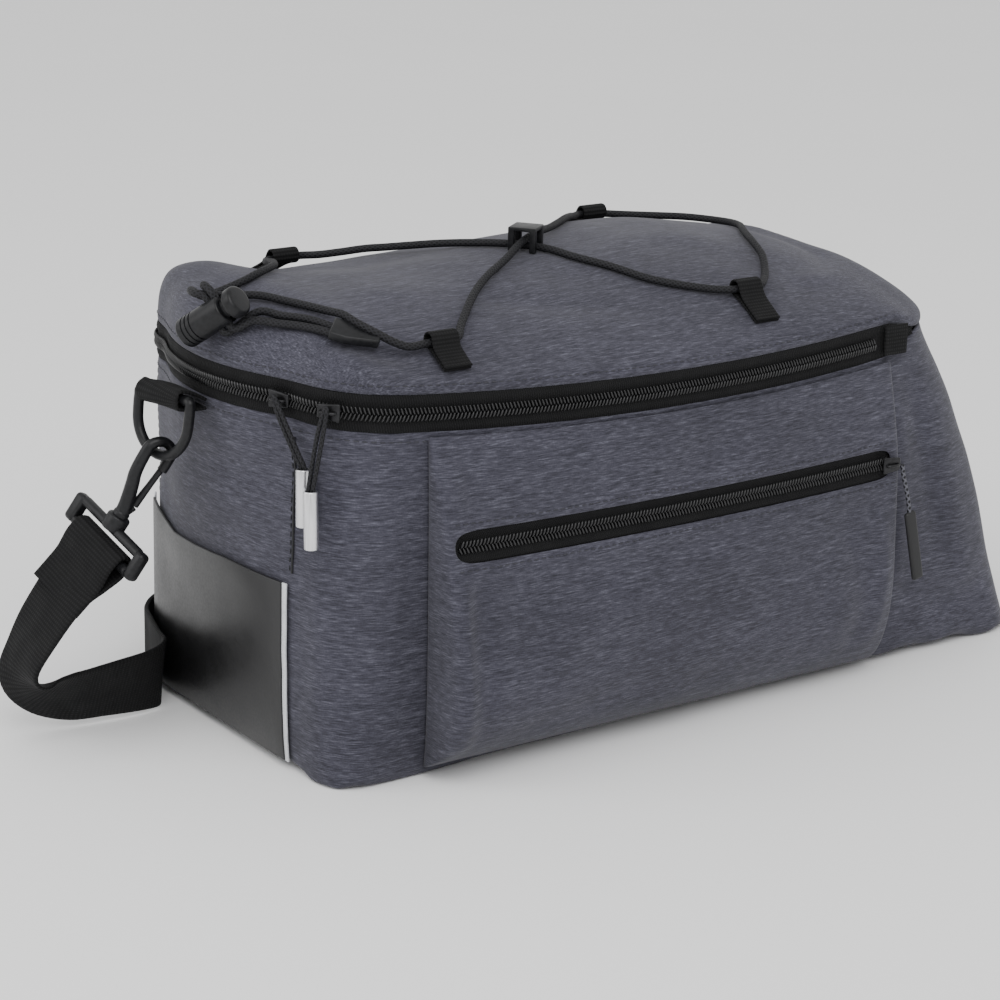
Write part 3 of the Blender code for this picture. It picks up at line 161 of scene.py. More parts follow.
STRAP_LEFT = (
    # x, y, z, turn of the width in degrees towards -Y
    (-0.2490, 0.0215, 0.0650, 106), (-0.2600, 0.0250, 0.0480, 97), (-0.2655, 0.0275, 0.0345, 80),
    (-0.2625, 0.0285, 0.0250, 60), (-0.2530, 0.0282, 0.0192, 43), (-0.2400, 0.0272, 0.0167, 32),
    (-0.2250, 0.0268, 0.0168, 26), (-0.2100, 0.0282, 0.0166, 20), (-0.2000, 0.0330, 0.0166, 12),
    (-0.1960, 0.0430, 0.0166, 4),
)
STRAP_FAR = (
    # x, distance beyond the cloth
    (-0.1620, 0.0110), (-0.1540, 0.0240), (-0.1420, 0.0300), (-0.1200, 0.0295), (-0.0700, 0.0275),
    (-0.0200, 0.0250), (0.0300, 0.0215), (0.0700, 0.0180), (0.0920, 0.0155), (0.1020, 0.0090),
    (0.1250, 0.0045),
)
CORD_ROUTE = (
    # x, y, lift over the lid
    (-0.1860, 0.0030, 0.0012), (-0.1760, 0.0037, 0.0006), (-0.1680, 0.0062, 0.0006),
    (-0.1600, 0.0115, 0.0006), (-0.1520, 0.0200, 0.0006), (-0.1465, 0.0305, 0.0008),
    (-0.1430, 0.0410, 0.0014), (-0.1375, 0.0500, 0.0030), (-0.1300, 0.0500, 0.0030),
    (-0.1225, 0.0500, 0.0030), (-0.1160, 0.0440, 0.0016), (-0.1090, 0.0375, 0.0012),
    (-0.1010, 0.0320, 0.0010), (-0.0930, 0.0275, 0.0008), (-0.0838, 0.0225, 0.0006),
    (-0.0750, 0.0150, 0.0006), (-0.0655, 0.0072, 0.0006), (-0.0560, -0.0020, 0.0006),
    (-0.0487, -0.0108, 0.0006), (-0.0430, -0.0205, 0.0006), (-0.0386, -0.0320, 0.0006),
    (-0.0292, -0.0439, 0.0006), (-0.0178, -0.0563, 0.0006), (-0.0032, -0.0646, 0.0008),
    (0.0070, -0.0690, 0.0016), (0.0138, -0.0712, 0.0030), (0.0212, -0.0712, 0.0030),
    (0.0286, -0.0712, 0.0030), (0.0350, -0.0665, 0.0014), (0.0417, -0.0593, 0.0006),
    (0.0494, -0.0480, 0.0006), (0.0552, -0.0344, 0.0006), (0.0600, -0.0250, 0.0006),
    (0.0660, -0.0150, 0.0006), (0.0735, -0.0040, 0.0006), (0.0785, 0.0085, 0.0006),
    (0.0770, 0.0205, 0.0006), (0.0700, 0.0305, 0.0006), (0.0600, 0.0395, 0.0008),
    (0.0490, 0.0470, 0.0016), (0.0395, 0.0505, 0.0030), (0.0320, 0.0505, 0.0030),
    (0.0245, 0.0505, 0.0030), (0.0180, 0.0450, 0.0014), (0.0080, 0.0350, 0.0006),
    (-0.0020, 0.0250, 0.0006), (-0.0120, 0.0165, 0.0006), (-0.0220, 0.0085, 0.0010),
    (-0.0320, 0.0010, 0.0024), (-0.0410, -0.0055, 0.0040), (-0.0487, -0.0108, 0.0043),
    (-0.0570, -0.0165, 0.0036), (-0.0650, -0.0218, 0.0020), (-0.0730, -0.0268, 0.0006),
    (-0.0830, -0.0338, 0.0006), (-0.0930, -0.0412, 0.0006), (-0.1020, -0.0492, 0.0006),
    (-0.1100, -0.0570, 0.0006), (-0.1175, -0.0645, 0.0010), (-0.1243, -0.0722, 0.0030),
    (-0.1318, -0.0722, 0.0030), (-0.1393, -0.0722, 0.0030), (-0.1465, -0.0722, 0.0030),
    (-0.1525, -0.0703, 0.0046), (-0.1585, -0.0668, 0.0062), (-0.1632, -0.0612, 0.0066),
    (-0.1655, -0.0545, 0.0060), (-0.1668, -0.0465, 0.0024), (-0.1696, -0.0371, 0.0008),
    (-0.1737, -0.0252, 0.0008), (-0.1785, -0.0145, 0.0012), (-0.1850, -0.0070, 0.0020),
)
BLOB_ONE = ((-0.2040, -0.0075, 0.1872), (-0.2010, 0.0000, 0.1865), (-0.1940, 0.0030, 0.1828))
BLOB_TWO = ((-0.1925, -0.0035, 0.1845), (-0.1985, -0.0068, 0.1888), (-0.2010, -0.0105, 0.1905))
TAIL_ONE = ((-0.1694, -0.0569, 0.0006), (-0.1709, -0.0533, 0.0006), (-0.1748, -0.0440, 0.0006),
            (-0.1800, -0.0335, 0.0010), (-0.1862, -0.0255, 0.0030))
TAIL_TWO = ((-0.1893, -0.0282, 0.0036), (-0.1835, -0.0360, 0.0014), (-0.1783, -0.0452, 0.0006),
            (-0.1741, -0.0543, 0.0006), (-0.1725, -0.0578, 0.0006))
LOOPS = (
    # name, seam, cord
    ("near_left", (-0.1318, -0.0815), (-0.1318, -0.0722)),
    ("near_right", (0.0212, -0.0835), (0.0212, -0.0712)),
    ("far_left", (-0.1300, 0.0640), (-0.1300, 0.0500)),
    ("far_right", (0.0320, 0.0640), (0.0320, 0.0505)),
)
ZIP_PULLS = (
    # name, slider's x, top of the metal tube, foot of the tube
    ("left", -0.1868, Vector((-0.1877, -0.0622, 0.1276)), Vector((-0.1880, -0.0627, 0.1048))),
    ("right", -0.1795, Vector((-0.1885, -0.0689, 0.1206)), Vector((-0.1888, -0.0702, 0.0989))),
)
SLIDER_BRIDGE = (
    # lift as a share of the slider's thickness, place along the zip
    (0.5, -0.0032), (0.95, -0.0026), (1.15, -0.0008), (1.15, 0.0012), (0.95, 0.0028), (0.5, 0.0033),
)
END_SEAMS = (("near", -0.0518), ("far", 0.0690))
LOCK_GROOVES = (0.0030, 0.0052, 0.0074)
POCKET_PULL = ((0.0, 0.0), (0.0012, 0.0045), (0.0030, 0.0105), (0.0048, 0.0165), (0.0060, 0.0225))

# Folds of the cloth: places on it, half width and height of the ridge, all in metres
POCKET_FOLDS = (
    # (x, z) places on a pocket
    (((-0.1405, 0.135), (-0.1395, 0.100), (-0.1425, 0.060), (-0.1400, 0.015)), 0.0042, 0.0022),
    (((-0.1330, 0.128), (-0.1335, 0.085), (-0.1340, 0.050), (-0.1320, 0.018)), 0.0050, -0.0016),
    (((-0.125, 0.040), (-0.080, 0.058), (-0.020, 0.072)), 0.0100, 0.0012),
    (((-0.110, 0.018), (-0.060, 0.026), (-0.010, 0.022)), 0.0080, -0.0012),
    (((0.055, 0.078), (0.070, 0.045), (0.066, 0.014)), 0.0065, -0.0014),
    (((0.078, 0.080), (0.083, 0.050), (0.080, 0.018)), 0.0050, 0.0012),
    (((-0.040, 0.118), (0.010, 0.123), (0.060, 0.120)), 0.0060, -0.0008),
    (((0.020, 0.060), (0.045, 0.052), (0.060, 0.035)), 0.0070, 0.0009),
    (((-0.090, 0.080), (-0.050, 0.087), (-0.010, 0.084)), 0.0060, -0.0007),
)
SIDE_FOLDS = (
    # (x, z) places on a side of the body
    (((0.106, 0.128), (0.117, 0.090), (0.128, 0.050)), 0.0060, -0.0016),
    (((0.100, 0.110), (0.103, 0.070), (0.102, 0.030)), 0.0045, 0.0014),
    (((0.124, 0.108), (0.137, 0.070), (0.150, 0.030)), 0.0080, 0.0015),
    (((0.108, 0.030), (0.135, 0.022), (0.165, 0.030)), 0.0070, -0.0012),
)
END_FOLDS = (
    # (y, z) places on the dark end
    (((-0.060, 0.125), (-0.020, 0.118), (0.030, 0.122)), 0.0080, -0.0012),
    (((-0.030, 0.105), (0.010, 0.098), (0.050, 0.104)), 0.0090, 0.0010),
    (((-0.066, 0.020), (-0.069, 0.050), (-0.066, 0.090)), 0.0070, 0.0010),
)
LID_FOLDS = (
    # (x, y) places on the lid
    (((-0.176, -0.058), (-0.160, -0.068), (-0.146, -0.072)), 0.0050, -0.0014),
    (((-0.150, 0.020), (-0.120, 0.012), (-0.085, 0.018)), 0.0110, -0.0016),
    (((0.085, -0.050), (0.095, -0.030), (0.093, 0.000)), 0.0080, -0.0020),
    (((0.060, -0.062), (0.082, -0.058), (0.100, -0.040)), 0.0060, 0.0014),
    (((-0.020, -0.030), (0.010, -0.020), (0.035, -0.030)), 0.0120, 0.0010),
    (((-0.100, -0.045), (-0.070, -0.058), (-0.030, -0.070)), 0.0070, -0.0010),
    (((0.100, 0.045), (0.092, 0.020), (0.098, -0.010)), 0.0070, 0.0016),
    (((-0.060, 0.050), (-0.020, 0.062), (0.020, 0.058)), 0.0090, -0.0012),
    (((-0.168, 0.050), (-0.172, 0.020), (-0.166, -0.010)), 0.0080, 0.0014),
)

# Camera of the photograph's view
EYE = Vector((-0.6979, -0.9101, 0.4205))
LOOK = Vector((0.5537, 0.7791, -0.2940))
RIGHT = Vector((0.8188, -0.5737, 0.0217))
LENS = 97.2
SENSOR = 36.0
LAMPS = (
    # name, place, what it points at, width
    ("main_lamp", (-0.7, -1.3, 1.7), (0, 0, 0.08), 1.6),
    ("second_lamp", (-1.6, 0.4, 1.0), (-0.1, 0, 0.08), 1.2),
)

TREES = {}
FINISHES = {}


# Selecting and applying

def leave_edit():
    if bpy.context.mode != "OBJECT":
        bpy.ops.object.mode_set(mode="OBJECT")


def select_none():
    leave_edit()
    bpy.ops.object.select_all(action="DESELECT")


def take(piece):
    select_none()
    piece.select_set(True)
    bpy.context.view_layer.objects.active = piece


def open_all(piece):
    """Edit mode with all of the piece selected."""
    take(piece)
    bpy.ops.object.mode_set(mode="EDIT")
    bpy.ops.mesh.select_mode(type="EDGE")
    bpy.ops.mesh.select_all(action="SELECT")


def settle(piece):
    take(piece)
    bpy.ops.object.transform_apply(location=True, rotation=True, scale=True)


def apply_all(piece):
    take(piece)
    for step in list(piece.modifiers):
        bpy.ops.object.modifier_apply(modifier=step.name)


def soften(piece, width, segments=3, degrees=40):
    """Rounds the sharp edges of a piece in edit mode."""
    open_all(piece)
    bpy.ops.mesh.select_all(action="DESELECT")
    bpy.ops.mesh.edges_select_sharp(sharpness=math.radians(degrees))
    bpy.ops.mesh.bevel(offset=width, segments=segments, affect="EDGES", clamp_overlap=True)
    leave_edit()


def tidy_faces(piece):
    open_all(piece)
    bpy.ops.mesh.remove_doubles(threshold=1e-6)
    bpy.ops.mesh.normals_make_consistent(inside=False)
    leave_edit()


def finish_piece(piece, name, finish, body="bag", stands_for=(), degrees=42):
    """Names, paints and smooths a piece and puts it on its body."""
    take(piece)
    bpy.ops.object.shade_smooth_by_angle(angle=math.radians(degrees))
    piece.name = name
    piece.data.name = name
    piece.data.materials.clear()
    piece.data.materials.append(FINISHES[finish])
    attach(piece, body)
    if stands_for:
        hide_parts(*stands_for)
    return piece


def combine(piece, operation, others):
    """Joins the other pieces to a piece, or cuts them out of it."""
    for other in others:
        step = piece.modifiers.new("combine", "BOOLEAN")
        step.operation = operation
        step.solver = "EXACT"
        step.object = other
    apply_all(piece)
    for other in others:
        bpy.data.objects.remove(other)
    return piece


def union(piece, *others):
    return combine(piece, "UNION", others)


def cut(piece, *others):
    return combine(piece, "DIFFERENCE", others)


# Primitives at their place

def frame_of(origin, along, across):
    """Matrix whose Z axis runs along and whose X axis runs across."""
    z = along.normalized()
    x = (across - z * across.dot(z)).normalized()
    return Matrix.Translation(origin) @ Matrix((x, z.cross(x), z)).transposed().to_4x4()


def turned(place, low, high, width, sides=48):
    """A cylinder along the Z axis of a place."""
    select_none()
    bpy.ops.mesh.primitive_cylinder_add(
        vertices=sides, radius=width / 2, depth=high - low,
        location=place @ Vector((0, 0, (low + high) / 2)), rotation=place.to_3x3().to_euler(),
    )
    piece = bpy.context.object
    settle(piece)
    return piece


def block(place, low, high):
    """A box between two corners, in the axes of a place."""
    select_none()
    middle = Vector([(a + b) / 2 for a, b in zip(low, high)])
    bpy.ops.mesh.primitive_cube_add(
        size=1, location=place @ middle, rotation=place.to_3x3().to_euler(),
        scale=[b - a for a, b in zip(low, high)],
    )
    piece = bpy.context.object
    settle(piece)
    return piece


def bent_rod(points, width, closed=False, sides=5, taper=None):
    """A round rod bent along points. taper gives its thickness at both ends as shares of the width."""
    select_none()
    bpy.ops.curve.primitive_nurbs_path_add()
    rod = bpy.context.object
    rod.location = (0, 0, 0)
    rod.data.splines.clear()
    line = rod.data.splines.new("POLY")
    line.points.add(len(points) - 1)
    for slot, point in zip(line.points, points):
        slot.co = (*point, 1)
    if taper:
        for k, slot in enumerate(line.points):
            share = min(1.0, k / (0.6 * len(points)))
            slot.radius = taper[0] + (taper[1] - taper[0]) * share
    line.use_cyclic_u = closed
    rod.data.bevel_depth = width / 2
    rod.data.bevel_resolution = sides
    rod.data.use_fill_caps = True
    bpy.ops.object.convert(target="MESH")
    rod = bpy.context.object
    tidy_faces(rod)
    return rod


def copy_of(node, levels=0, soft_edge=0.0):
    """A merged copy of a solid, its sharp edges bevelled or the whole smoothed by subdivision."""
    piece = bpy.data.objects.new(node + "_copy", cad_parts[node].data.copy())
    bpy.context.scene.collection.objects.link(piece)
    open_all(piece)
    bpy.ops.mesh.remove_doubles(threshold=1e-5)
    bpy.ops.mesh.tris_convert_to_quads(face_threshold=math.radians(50), shape_threshold=math.radians(60))
    leave_edit()
    bpy.ops.mesh.customdata_custom_splitnormals_clear()
    if soft_edge:
        soften(piece, soft_edge)
    if levels:
        step = piece.modifiers.new("finer", "SUBSURF")
        step.levels = step.render_levels = levels
        apply_all(piece)
    return piece


# Lines, tubes and bands

def smooth_line(points, steps=6, closed=False):
    """Points on a smooth curve through the given ones, evenly split between them."""
    array = np.array([tuple(p) for p in points], float)
    count = len(array)
    made = []
    spans = count if closed else count - 1
    for k in range(spans):
        if closed:
            a, b, c, d = (array[(k + n) % count] for n in (-1, 0, 1, 2))
        else:
            a, b, c, d = (array[min(max(k + n, 0), count - 1)] for n in (-1, 0, 1, 2))
        for n in range(steps):
            t = n / steps
            made.append(0.5 * (2 * b + (c - a) * t + (2 * a - 5 * b + 4 * c - d) * t * t
                               + (3 * b - a - 3 * c + d) * t ** 3))
    if not closed:
        made.append(array[-1])
    return [Vector(p) for p in made]


def way_at(line, k):
    """Direction of a line at one of its points."""
    return (line[min(k + 1, len(line) - 1)] - line[max(k - 1, 0)]).normalized()


def even_line(points, pitch):
    """Points a pitch apart along a line, with the line's direction at each."""
    array = np.array([tuple(p) for p in points], float)
    lengths = np.linalg.norm(np.diff(array, axis=0), axis=1)
    run = np.concatenate([[0], np.cumsum(lengths)])
    count = max(2, int(round(run[-1] / pitch)))
    marks = (np.arange(count) + 0.5) * run[-1] / count
    places = np.stack([np.interp(marks, run, array[:, k]) for k in range(3)], 1)
    ahead = np.stack([np.interp(marks + pitch / 3, run, array[:, k]) for k in range(3)], 1)
    behind = np.stack([np.interp(marks - pitch / 3, run, array[:, k]) for k in range(3)], 1)
    way = ahead - behind
    way /= np.linalg.norm(way, axis=1)[:, None] + 1e-12
    return places, way


def skin_of(name, rings, closed=False):
    """A mesh over rings of points, with a map of length along it and length round it."""
    rows, columns = len(rings), len(rings[0])
    centres = [sum(ring, Vector()) / columns for ring in rings]
    runs = [0.0]
    for a, b in zip(centres, centres[1:] + ([centres[0]] if closed else [])):
        runs.append(runs[-1] + (b - a).length)
    rounds = [0.0]
    for a, b in zip(rings[0], rings[0][1:] + [rings[0][0]]):
        rounds.append(rounds[-1] + (b - a).length)
    faces, places = [], []
    for r in range(rows if closed else rows - 1):
        s = (r + 1) % rows
        for c in range(columns):
            d = (c + 1) % columns
            faces.append((r * columns + c, r * columns + d, s * columns + d, s * columns + c))
            places += [(runs[r], rounds[c]), (runs[r], rounds[c + 1]), (runs[r + 1], rounds[c + 1]),
                       (runs[r + 1], rounds[c])]
    if not closed:
        faces.append(tuple(reversed(range(columns))))
        faces.append(tuple((rows - 1) * columns + c for c in range(columns)))
        places += [(runs[0], 0.0)] * columns + [(runs[-1], 0.0)] * columns
    mesh = bpy.data.meshes.new(name)
    mesh.from_pydata([tuple(p) for ring in rings for p in ring], [], faces)
    chart = mesh.uv_layers.new(name="along")
    chart.data.foreach_set("uv", np.array(places, np.float32).ravel())
    piece = bpy.data.objects.new(name, mesh)
    bpy.context.scene.collection.objects.link(piece)
    open_all(piece)
    bpy.ops.mesh.normals_make_consistent(inside=False)
    leave_edit()
    return piece


def tube(name, points, width, sides=14):
    """A round cord along points, its rings carried on without twist."""
    ways = [(b - a).normalized() for a, b in zip(points, points[1:])]
    ways = [ways[0]] + [(a + b).normalized() for a, b in zip(ways, ways[1:])] + [ways[-1]]
    side = ways[0].orthogonal().normalized()
    rings = []
    for point, way in zip(points, ways):
        side = (side - way * side.dot(way)).normalized()
        other = way.cross(side)
        rings.append([
            point + (side * math.cos(2 * math.pi * k / sides) + other * math.sin(2 * math.pi * k / sides))
            * (width / 2) for k in range(sides)
        ])
    return skin_of(name, rings)


def flat_profile(width, thick, columns=14):
    """Outline of webbing: a flat band with rounded edges, as distances across and out."""
    half, round_off = width / 2, thick * 0.48
    across = [-(half - round_off) + (width - 2 * round_off) * k / columns for k in range(columns + 1)]
    low = [(a, -thick / 2) for a in across]
    turn = [(half - round_off + round_off * math.cos(r), thick / 2 * math.sin(r)) for r in (-0.8, 0.0, 0.8)]
    high = [(a, thick / 2) for a in reversed(across)]
    back = [(-a, b) for a, b in reversed(turn)]
    return low + turn + high + back


def band(name, path, acrosses, profile):
    """A profile swept along a path. acrosses holds the width's direction at each point."""
    rings = []
    for k, (point, across) in enumerate(zip(path, acrosses)):
        way = way_at(path, k)
        across = (across - way * across.dot(way)).normalized()
        out = way.cross(across)
        rings.append([point + across * a + out * b for a, b in profile])
    return skin_of(name, rings)


def smooth_band(name, rows, profile, steps=5):
    """A band through rows of (centre, width's direction), smoothed along its length."""
    path = smooth_line([row[0] for row in rows], steps)
    acrosses = smooth_line([row[1] for row in rows], steps)
    return band(name, path, acrosses, profile)


def repeat(name, template, places):
    """One mesh of many copies of a small template at matrices."""
    corners = np.array([tuple(v.co) for v in template.data.vertices], float)
    polygons = [list(p.vertices) for p in template.data.polygons]
    points, faces = [], []
    for n, place in enumerate(places):
        array = np.array(place, float)
        points.append(corners @ array[:3, :3].T + array[:3, 3])
        faces += [[i + n * len(corners) for i in face] for face in polygons]
    mesh = bpy.data.meshes.new(name)
    mesh.from_pydata(np.concatenate(points).tolist(), [], faces)
    piece = bpy.data.objects.new(name, mesh)
    bpy.context.scene.collection.objects.link(piece)
    bpy.data.objects.remove(template)
    return piece


# Reading the solids and the cloth

def tree_of(piece):
    mesh = piece.data
    return BVHTree.FromPolygons([v.co for v in mesh.vertices], [p.vertices for p in mesh.polygons])


def tree(name):
    if name not in TREES:
        TREES[name] = tree_of(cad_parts[name])
    return TREES[name]


def side_point(name, x, z, side):
    """Outside of a piece at a length and a height, seen from one side."""
    hit = tree(name).ray_cast(Vector((x, side, z)), Vector((0, -side, 0)))
    return hit[0]


def skin_at(x, z, side):
    """The body's or lid's solid at a length and a height: side is -1 near and 1 far."""
    for name in ("body_shell", "lid_shell"):
        found = side_point(name, x, z, side)
        if found is not None and found.y * side > 0.03:
            return found
    return Vector((x, side_point("body_shell", x, 0.138, side).y, z))


def end_skin(y, z, side, name="body_shell"):
    """Place and normal on an end of the bag: side is -1 for the dark end."""
    hit = tree(name).ray_cast(Vector((side, y, z)), Vector((-side, 0, 0)))
    normal = hit[1] if hit[1].x * side > 0 else -hit[1]
    return hit[0], normal


def lid_top(x, y, name="lid_shell"):
    """Height of the lid over a place."""
    return tree(name).ray_cast(Vector((x, y, 1)), Vector((0, 0, -1)))[0].z


def smooth_step(part):
    part = min(1.0, max(0.0, part))
    return part * part * (3 - 2 * part)


def zip_line(x):
    """Height of the main zip's middle."""
    part = (x + BASE_LENGTH / 2) / (BASE_LENGTH - END_SLANT)
    return ZIP_HEIGHT - (ZIP_SAG * math.sin(math.pi * part) ** 0.8 if 0 < part < 1 else 0.0)


def round_the_bag(name, lift, steps=420, start=-35.2, stop=-324.8):
    """Points on a piece along the zip, from the near side's end round the dark end to the far side's."""
    centre = Vector((ZIP_CENTRE_X, 0, 0))
    found, x = [], ZIP_END_X
    for n in range(steps + 1):
        angle = math.radians(start + (stop - start) * n / steps)
        way = Vector((math.cos(angle), math.sin(angle), 0))
        for _ in range(2):
            origin = centre + way * 0.5 + UP * (zip_line(x) + lift)
            hit = tree(name).ray_cast(origin, -way)
            if hit[0] is None or (hit[0] - origin).length > 0.47:
                break
            x = hit[0].x
        if hit[0] is not None and (hit[0] - origin).length <= 0.47:
            found.append(hit[0])
    return found


# Folds

def on_side(name, side):
    return lambda x, z: side_point(name, x, z, side)


def fold_samples(places, reader):
    """Points along a fold, read on the cloth from its few chosen places."""
    line = smooth_line([Vector((a, b, 0)) for a, b in places], 8)
    found = [reader(p.x, p.y) for p in line]
    return [p for p in found if p is not None]


def heights_of(corners, folds):
    """Height of all folds at each corner: each is a rounded ridge that fades at its ends."""
    total = np.zeros(len(corners))
    for samples, wide, high in folds:
        reach = np.zeros(len(corners))
        count = len(samples)
        for k, sample in enumerate(samples):
            away = corners - np.array(tuple(sample))
            fade = math.sin(math.pi * (k + 0.7) / (count + 0.4)) ** 0.6
            reach = np.maximum(reach, fade * np.exp(-(away * away).sum(1) / wide ** 2))
        total += high * reach
    return total


def uneven(piece, middle, folds, slack, keep_off):
    """Moves the cloth in and out by its folds and by a gentle unevenness, both skins alike."""
    mesh = piece.data
    count = len(mesh.vertices)
    corners = np.zeros(count * 3)
    normals = np.zeros(count * 3)
    mesh.vertices.foreach_get("co", corners)
    mesh.vertex_normals.foreach_get("vector", normals)
    corners, normals = corners.reshape(-1, 3), normals.reshape(-1, 3)
    outward = corners - np.array(middle)
    flip = np.sign((outward * normals).sum(1))
    flip[flip == 0] = 1
    high = heights_of(corners, folds)
    broad = np.array([noise.noise(Vector(p) * 19) + 0.45 * noise.noise(Vector(p) * 47) for p in corners])
    high = (high + slack * broad) * np.array([keep_off(p) for p in corners])
    corners = corners + normals * (flip * high)[:, None]
    mesh.vertices.foreach_set("co", corners.ravel())
    mesh.update()
    share = np.clip((np.abs(normals[:, 0]) - np.abs(normals[:, 1]) - 0.05) / 0.25, 0, 1)
    mark = mesh.attributes.new("end_share", "FLOAT", "POINT")
    mark.data.foreach_set("value", share.astype(np.float32))


# Finishes

def new_finish(name):
    made = bpy.data.materials.new(name)
    made.use_nodes = True
    return made, made.node_tree, made.node_tree.nodes["Principled BSDF"]


def add(tree_, kind, settings=None, **inputs):
    """A node with its settings, its input values and its links."""
    made = tree_.nodes.new(kind)
    for key, value in (settings or {}).items():
        setattr(made, key, value)
    for key, value in inputs.items():
        socket = made.inputs[int(key[1:])] if key[0] == "_" else made.inputs[key.replace("_", " ")]
        if isinstance(value, bpy.types.NodeSocket):
            tree_.links.new(value, socket)
        else:
            socket.default_value = value
    return made


def math_of(tree_, operation, a, b=0.0):
    return add(tree_, "ShaderNodeMath", {"operation": operation}, _0=a, _1=b).outputs[0]


def blend(tree_, one, other, share):
    """Two values added in shares that make one."""
    return math_of(tree_, "ADD", math_of(tree_, "MULTIPLY", one, 1 - share),
                   math_of(tree_, "MULTIPLY", other, share))


def ramp_of(tree_, value, stops):
    made = add(tree_, "ShaderNodeValToRGB", None, Fac=value)
    while len(made.color_ramp.elements) < len(stops):
        made.color_ramp.elements.new(0.5)
    for element, (place, colour) in zip(made.color_ramp.elements, stops):
        element.position = place
        element.color = (*colour, 1)
    return made.outputs[0]


def grain(tree_, scale, size=1.0, detail=2.0, source="Object"):
    """Noise whose grain is stretched by three scales, in units per metre."""
    place = add(tree_, "ShaderNodeTexCoord").outputs[source]
    spread = add(tree_, "ShaderNodeMapping", None, Vector=place, Scale=scale).outputs[0]
    return add(tree_, "ShaderNodeTexNoise", None, Vector=spread, Scale=size, Detail=detail).outputs["Fac"]


def relief(tree_, shader, height, strength, distance):
    """Fine relief of a finish."""
    bump = add(tree_, "ShaderNodeBump", None, Strength=strength, Distance=distance, Height=height)
    tree_.links.new(bump.outputs[0], shader.inputs["Normal"])


def melange(name, settings, lid=False):
    """Melange cloth: dark and light yarns in short level streaks, with a fine weave in relief."""
    made, tree_, shader = new_finish(name)
    along, thin = 1 / settings.slub_length, 1 / settings.slub_height
    wash = (9, 14, 14) if lid else (9, 9, 20)
    ways = ((along, thin, thin), (thin, along, thin)) if lid else ((along, along, thin),)
    shorts = [grain(tree_, way, 1.0, 3.0) for way in ways]
    longs = [grain(tree_, tuple(0.33 * size for size in way), 1.0, 2.0) for way in ways]
    short, long = shorts[0], longs[0]
    if lid:
        turned_share = add(tree_, "ShaderNodeAttribute", {"attribute_name": "end_share"}).outputs["Fac"]
        short, long = (add(tree_, "ShaderNodeMix", None, _0=turned_share, _2=pair[0], _3=pair[1]).outputs[0]
                       for pair in (shorts, longs))
    speck = grain(tree_, (1500, 1500, 1500), 1.0, 1.0)
    broad = grain(tree_, wash, 1.0, 2.0)
    value = math_of(tree_, "MULTIPLY", short, 0.62)
    value = math_of(tree_, "ADD", value, math_of(tree_, "MULTIPLY", long, 0.24))
    value = math_of(tree_, "ADD", value, math_of(tree_, "MULTIPLY", speck, 0.14))
    dark, middle = tuple(settings.cloth_dark), tuple(settings.cloth_middle)
    light = tuple(settings.cloth_light)
    lower = tuple(0.6 * a + 0.4 * b for a, b in zip(middle, dark))
    upper = tuple(0.7 * a + 0.3 * b for a, b in zip(middle, light))
    colour = ramp_of(tree_, value, (
        (0.34, dark), (0.44, lower), (0.50, middle), (0.57, upper), (0.66, light)))
    tone = add(tree_, "ShaderNodeMapRange", None, Value=broad, _1=0.3, _2=0.7, _3=0.86, _4=1.12).outputs[0]
    mixed = add(tree_, "ShaderNodeVectorMath", {"operation": "SCALE"}, Vector=colour, Scale=tone).outputs[0]
    tree_.links.new(mixed, shader.inputs["Base Color"])
    rough = add(tree_, "ShaderNodeMapRange", None, Value=short, _1=0.3, _2=0.7, _3=0.78, _4=0.94).outputs[0]
    tree_.links.new(rough, shader.inputs["Roughness"])
    shader.inputs["Sheen Weight"].default_value = 0.10
    shader.inputs["Sheen Roughness"].default_value = 0.5
    shader.inputs["Specular IOR Level"].default_value = 0.25
    relief(tree_, shader, value, 0.55, 0.0005)
    FINISHES[name] = made


def woven(name, colour, pitch, light, roughness, slant=0.0):
    """Black webbing: ribs across the band and yarns along it, read from the band's own map."""
    made, tree_, shader = new_finish(name)
    place = add(tree_, "ShaderNodeTexCoord").outputs["UV"]
    turned_map = add(tree_, "ShaderNodeMapping", None, Vector=place, Rotation=(0, 0, slant)).outputs[0]
    ribs = add(tree_, "ShaderNodeTexWave", {"bands_direction": "X", "wave_profile": "SIN"},
               Vector=turned_map, Scale=0.314 / pitch, Distortion=0.6, Detail=1.0).outputs["Fac"]
    yarns = add(tree_, "ShaderNodeTexWave", {"bands_direction": "Y", "wave_profile": "SIN"},
                Vector=turned_map, Scale=0.314 / (pitch * 0.8), Distortion=0.4, Detail=1.0).outputs["Fac"]
    worn = grain(tree_, (120, 120, 120), 1.0, 3.0)
    raised = math_of(tree_, "ADD", math_of(tree_, "MULTIPLY", yarns, 0.5), 0.5)
    value = math_of(tree_, "MULTIPLY", ribs, raised)
    mixed = blend(tree_, value, worn, 0.25)
    tree_.links.new(ramp_of(tree_, mixed, ((0.15, colour), (0.85, light))), shader.inputs["Base Color"])
    rough = add(tree_, "ShaderNodeMapRange", None, Value=worn, _1=0.3, _2=0.7, _3=roughness - 0.08,
                _4=roughness + 0.06).outputs[0]
    tree_.links.new(rough, shader.inputs["Roughness"])
    shader.inputs["Specular IOR Level"].default_value = 0.22
    relief(tree_, shader, value, 0.7, 0.0004)
    FINISHES[name] = made


